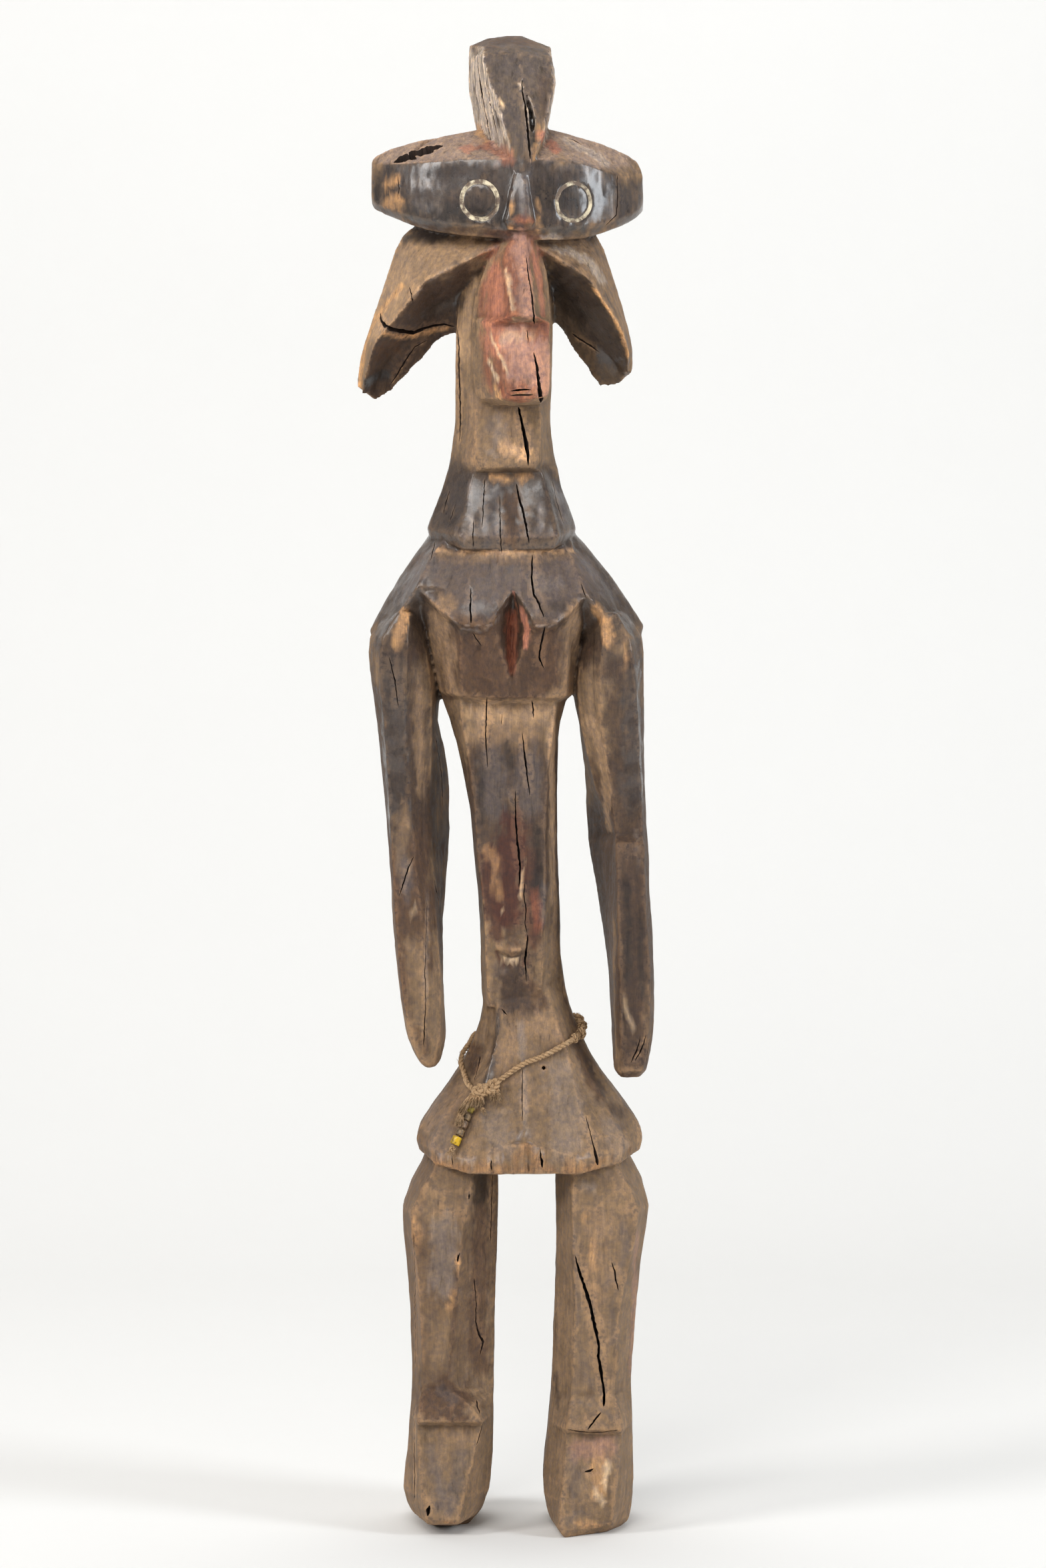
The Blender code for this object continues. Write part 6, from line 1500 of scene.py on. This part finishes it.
def crack_cutter(surface, finish):
    """All the splits and the insect hole as one thing to cut with."""
    rng = random.Random(17)
    builder = bmesh.new()
    for depth, points in CRACKS:
        blade(builder, blade_way(surface, points, rng), depth * MM)
    x, z, width, deep = INSECT_HOLE
    point, normal = skin(surface, x, z)
    radius = 0.5 * width * MM
    bmesh.ops.create_cone(
        builder, cap_ends=True, segments=14, radius1=radius, radius2=radius, depth=2 * deep * MM,
        matrix=stood_on(point, normal),
    )
    bmesh.ops.recalc_face_normals(builder, faces=builder.faces)
    bmesh.ops.triangulate(builder, faces=builder.faces)
    mesh = bpy.data.meshes.new("crack_cutter")
    builder.to_mesh(mesh)
    builder.free()
    mesh.materials.append(finish)
    cutter = bpy.data.objects.new("crack_cutter", mesh)
    bpy.context.scene.collection.objects.link(cutter)
    return cutter


def cut_away(figure, cutter):
    apply_modifier(
        figure, "BOOLEAN", operation="DIFFERENCE", object=cutter, solver="MANIFOLD", material_mode="TRANSFER"
    )
    bpy.data.objects.remove(cutter, do_unlink=True)


def eye_cutter(surface, middle, width, finish):
    """A ring cutter laid on the curved face at an eye."""
    point, normal = skin(surface, *middle)
    start_fresh()
    bpy.ops.mesh.primitive_torus_add(
        major_segments=56, minor_segments=10, major_radius=EYE_RADIUS * MM, minor_radius=width * MM
    )
    ring = bpy.context.object
    for vert in ring.data.vertices:
        angle = math.atan2(vert.co.y, vert.co.x)
        radial = 1 + 0.035 * noise.noise((2 * math.cos(angle), 2 * math.sin(angle), middle[0]))
        vert.co.x *= radial
        vert.co.y *= radial * 1.03
    ring.data.transform(stood_on(point, normal))
    for vert in ring.data.vertices:
        offset = vert.co - point
        flat = offset - offset.dot(normal) * normal
        hit, _, _, _ = surface.ray_cast(point + flat + normal * 0.02, -normal)
        if hit is not None:
            vert.co += normal * ((hit - point).dot(normal) + 0.00165)
    ring.data.materials.append(finish)
    return ring


def paint(figure):
    """Brushes the tones, the gloss and the weathering onto the surface, painted sheen and shadow among them,
    and notes the arrises and hollows that the finish lightens and shades.
    """
    mesh = figure.data
    places, facing = vertex_array(mesh), vertex_array(mesh, "normal")
    mm = places * 1000
    count = len(mm)
    ragged = fractal(mm, 7, 4)
    fine = fractal(mm + 40, 2.6, 2, (1, 1, 2.2))
    drift = fractal(mm + 90, 30, 3)
    values = {name: np.array((*colour, gloss, weather)) for name, (colour, gloss, weather) in TONES.items()}
    state = np.tile(values[FIRST_TONE], (count, 1))

    def lay(name, weight, where=slice(None)):
        state[where] += (values[name] - state[where]) * weight[:, None]

    for name, strength, centre, reach, way in ZONES:
        distance = np.sqrt((((mm - np.array(centre)) / np.array(reach)) ** 2).sum(axis=1))
        edge = 1.12 - distance + ZONE_NOISE[0] * drift + ZONE_NOISE[1] * ragged
        weight = ramp(edge, *ZONE_FADE) * strength
        if way is not None:
            weight *= ramp(facing @ np.array(way) / np.linalg.norm(way), *ZONE_FACING)
        lay(name, weight)
    groove = fractal(mm + 700, *GRAIN)
    high = ramp(mm[:, 2], *CREST)
    sides = high * ramp(np.abs(facing[:, 0]), *CREST_SIDES)
    state[:, :3] *= (1 + 0.9 * np.minimum(groove, 0.25) * sides)[:, None]
    front = ramp(mm[:, 2], *CREST_FRONT) * ramp(-facing[:, 1], 0.5, 0.8)
    hatch = fractal(mm + 500, *HATCH_ABOVE) * high + fractal(mm + 600, *HATCH_BELOW) * (1 - high)
    state[:, :3] *= (1 + 0.42 * hatch * front)[:, None]
    surface = surface_of(mesh)
    for name, strength, reach, points in STROKES:
        spots = [skin(surface, x, z)[0] for x, z in points]
        spots = [np.array(s) * 1000 for s in spots if s is not None]
        if not spots:
            continue
        margin = 2.2 * reach + 6
        low, high = np.min(spots, axis=0) - margin, np.max(spots, axis=0) + margin
        inside = np.where(((mm > low) & (mm < high)).all(axis=1))[0]
        if not len(inside):
            continue
        here = mm[inside]
        near = np.full(len(inside), 1e9)
        for a, b in list(zip(spots, spots[1:])) or [(spots[0], spots[0])]:
            step = b - a
            t = np.clip((here - a) @ step / max(step @ step, 1e-9), 0, 1)
            gap = here - (a + t[:, None] * step)
            gap[:, 1] *= 0.6
            near = np.minimum(near, np.sqrt((gap ** 2).sum(axis=1)))
        edge = 1.0 - near / reach + BRUSH_NOISE[0] * ragged[inside] + BRUSH_NOISE[1] * fine[inside]
        weight = ramp(edge, *BRUSH_FADE) * strength * ramp(-facing[inside, 1], *BRUSH_FACING)
        lay(name, weight, inside)

    edges = np.empty(len(mesh.edges) * 2, np.int32)
    mesh.edges.foreach_get("vertices", edges)
    edges = edges.reshape(-1, 2)
    ends = np.bincount(edges.ravel(), minlength=count).clip(1)
    soft = places.copy()
    for _ in range(5):
        for axis in range(3):
            total = np.bincount(edges[:, 0], weights=soft[edges[:, 1], axis], minlength=count)
            total += np.bincount(edges[:, 1], weights=soft[edges[:, 0], axis], minlength=count)
            soft[:, axis] = 0.5 * soft[:, axis] + 0.5 * total / ends
    lift = ((places - soft) * facing).sum(axis=1) / ARRIS
    state = np.clip(state, 0, 1)
    ones = np.ones(count)
    tone = mesh.color_attributes.new("tone", "FLOAT_COLOR", "POINT")
    tone.data.foreach_set("color", np.column_stack((state[:, :3], ones)).astype(np.float32).ravel())
    arris = np.clip(0.5 + 0.5 * lift, 0, 1)
    finish = mesh.color_attributes.new("finish", "FLOAT_COLOR", "POINT")
    finish.data.foreach_set("color", np.column_stack((state[:, 3:5], arris, ones)).astype(np.float32).ravel())


class STATUE_OT_figure(Operator):
    """Carves the surface, cuts the splits and the eyes, and brushes the patina"""
    bl_idname = "statue.figure"
    bl_label = "Figure"

    def execute(self, context):
        settings = context.scene.statue_carving
        figure = carved_copy()
        apply_modifier(figure, "REMESH", mode="VOXEL", voxel_size=settings.cell, use_smooth_shade=True)
        apply_modifier(figure, "SMOOTH", factor=0.5, iterations=settings.softening)
        relief(figure, settings)
        figure.data.calc_loop_triangles()
        share = settings.triangles / len(figure.data.loop_triangles)
        if share < 1:
            apply_modifier(figure, "DECIMATE", decimate_type="COLLAPSE", ratio=share)
        figure.data.materials.clear()
        figure.data.materials.append(aged_wood())
        surface = surface_of(figure.data)
        clay = kaolin(settings)
        for middle, width in EYES:
            cut_away(figure, eye_cutter(surface, middle, width, clay))
        cut_away(figure, crack_cutter(surface, split_wood(settings)))
        apply_modifier(figure, "TRIANGULATE", quad_method="BEAUTY")
        paint(figure)
        figure.data.shade_smooth()
        figure.data.set_sharp_from_angle(angle=CREASE)
        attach(figure, "root")
        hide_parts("figure")
        return {"FINISHED"}


class STATUE_PT_tools(Panel):
    bl_idname = "STATUE_PT_tools"
    bl_label = "Ancestor Figure"
    bl_space_type = "VIEW_3D"
    bl_region_type = "UI"
    bl_category = "Figure"

    def draw(self, context):
        for step in STEPS:
            self.layout.operator(step)


STEPS = (
    "statue.stage", "statue.waist_cord", "statue.cord_knot", "statue.hitch", "statue.bead_string",
    "statue.beads", "statue.declare_cords", "statue.figure",
)
CLASSES = (
    CarvingSettings, FibreSettings, StageSettings, STATUE_OT_stage, STATUE_OT_waist_cord, STATUE_OT_cord_knot,
    STATUE_OT_hitch, STATUE_OT_bead_string, STATUE_OT_beads, STATUE_OT_declare_cords, STATUE_OT_figure,
    STATUE_PT_tools,
)


def register():
    for each in CLASSES:
        bpy.utils.register_class(each)
    bpy.types.Scene.statue_carving = PointerProperty(type=CarvingSettings)
    bpy.types.Scene.statue_fibre = PointerProperty(type=FibreSettings)
    bpy.types.Scene.statue_stage = PointerProperty(type=StageSettings)


def unregister():
    del bpy.types.Scene.statue_carving, bpy.types.Scene.statue_fibre, bpy.types.Scene.statue_stage
    for each in reversed(CLASSES):
        bpy.utils.unregister_class(each)


def main():
    register()
    for step in STEPS:
        family, name = step.split(".")
        getattr(getattr(bpy.ops, family), name)()


if __name__ == "__main__":
    main()
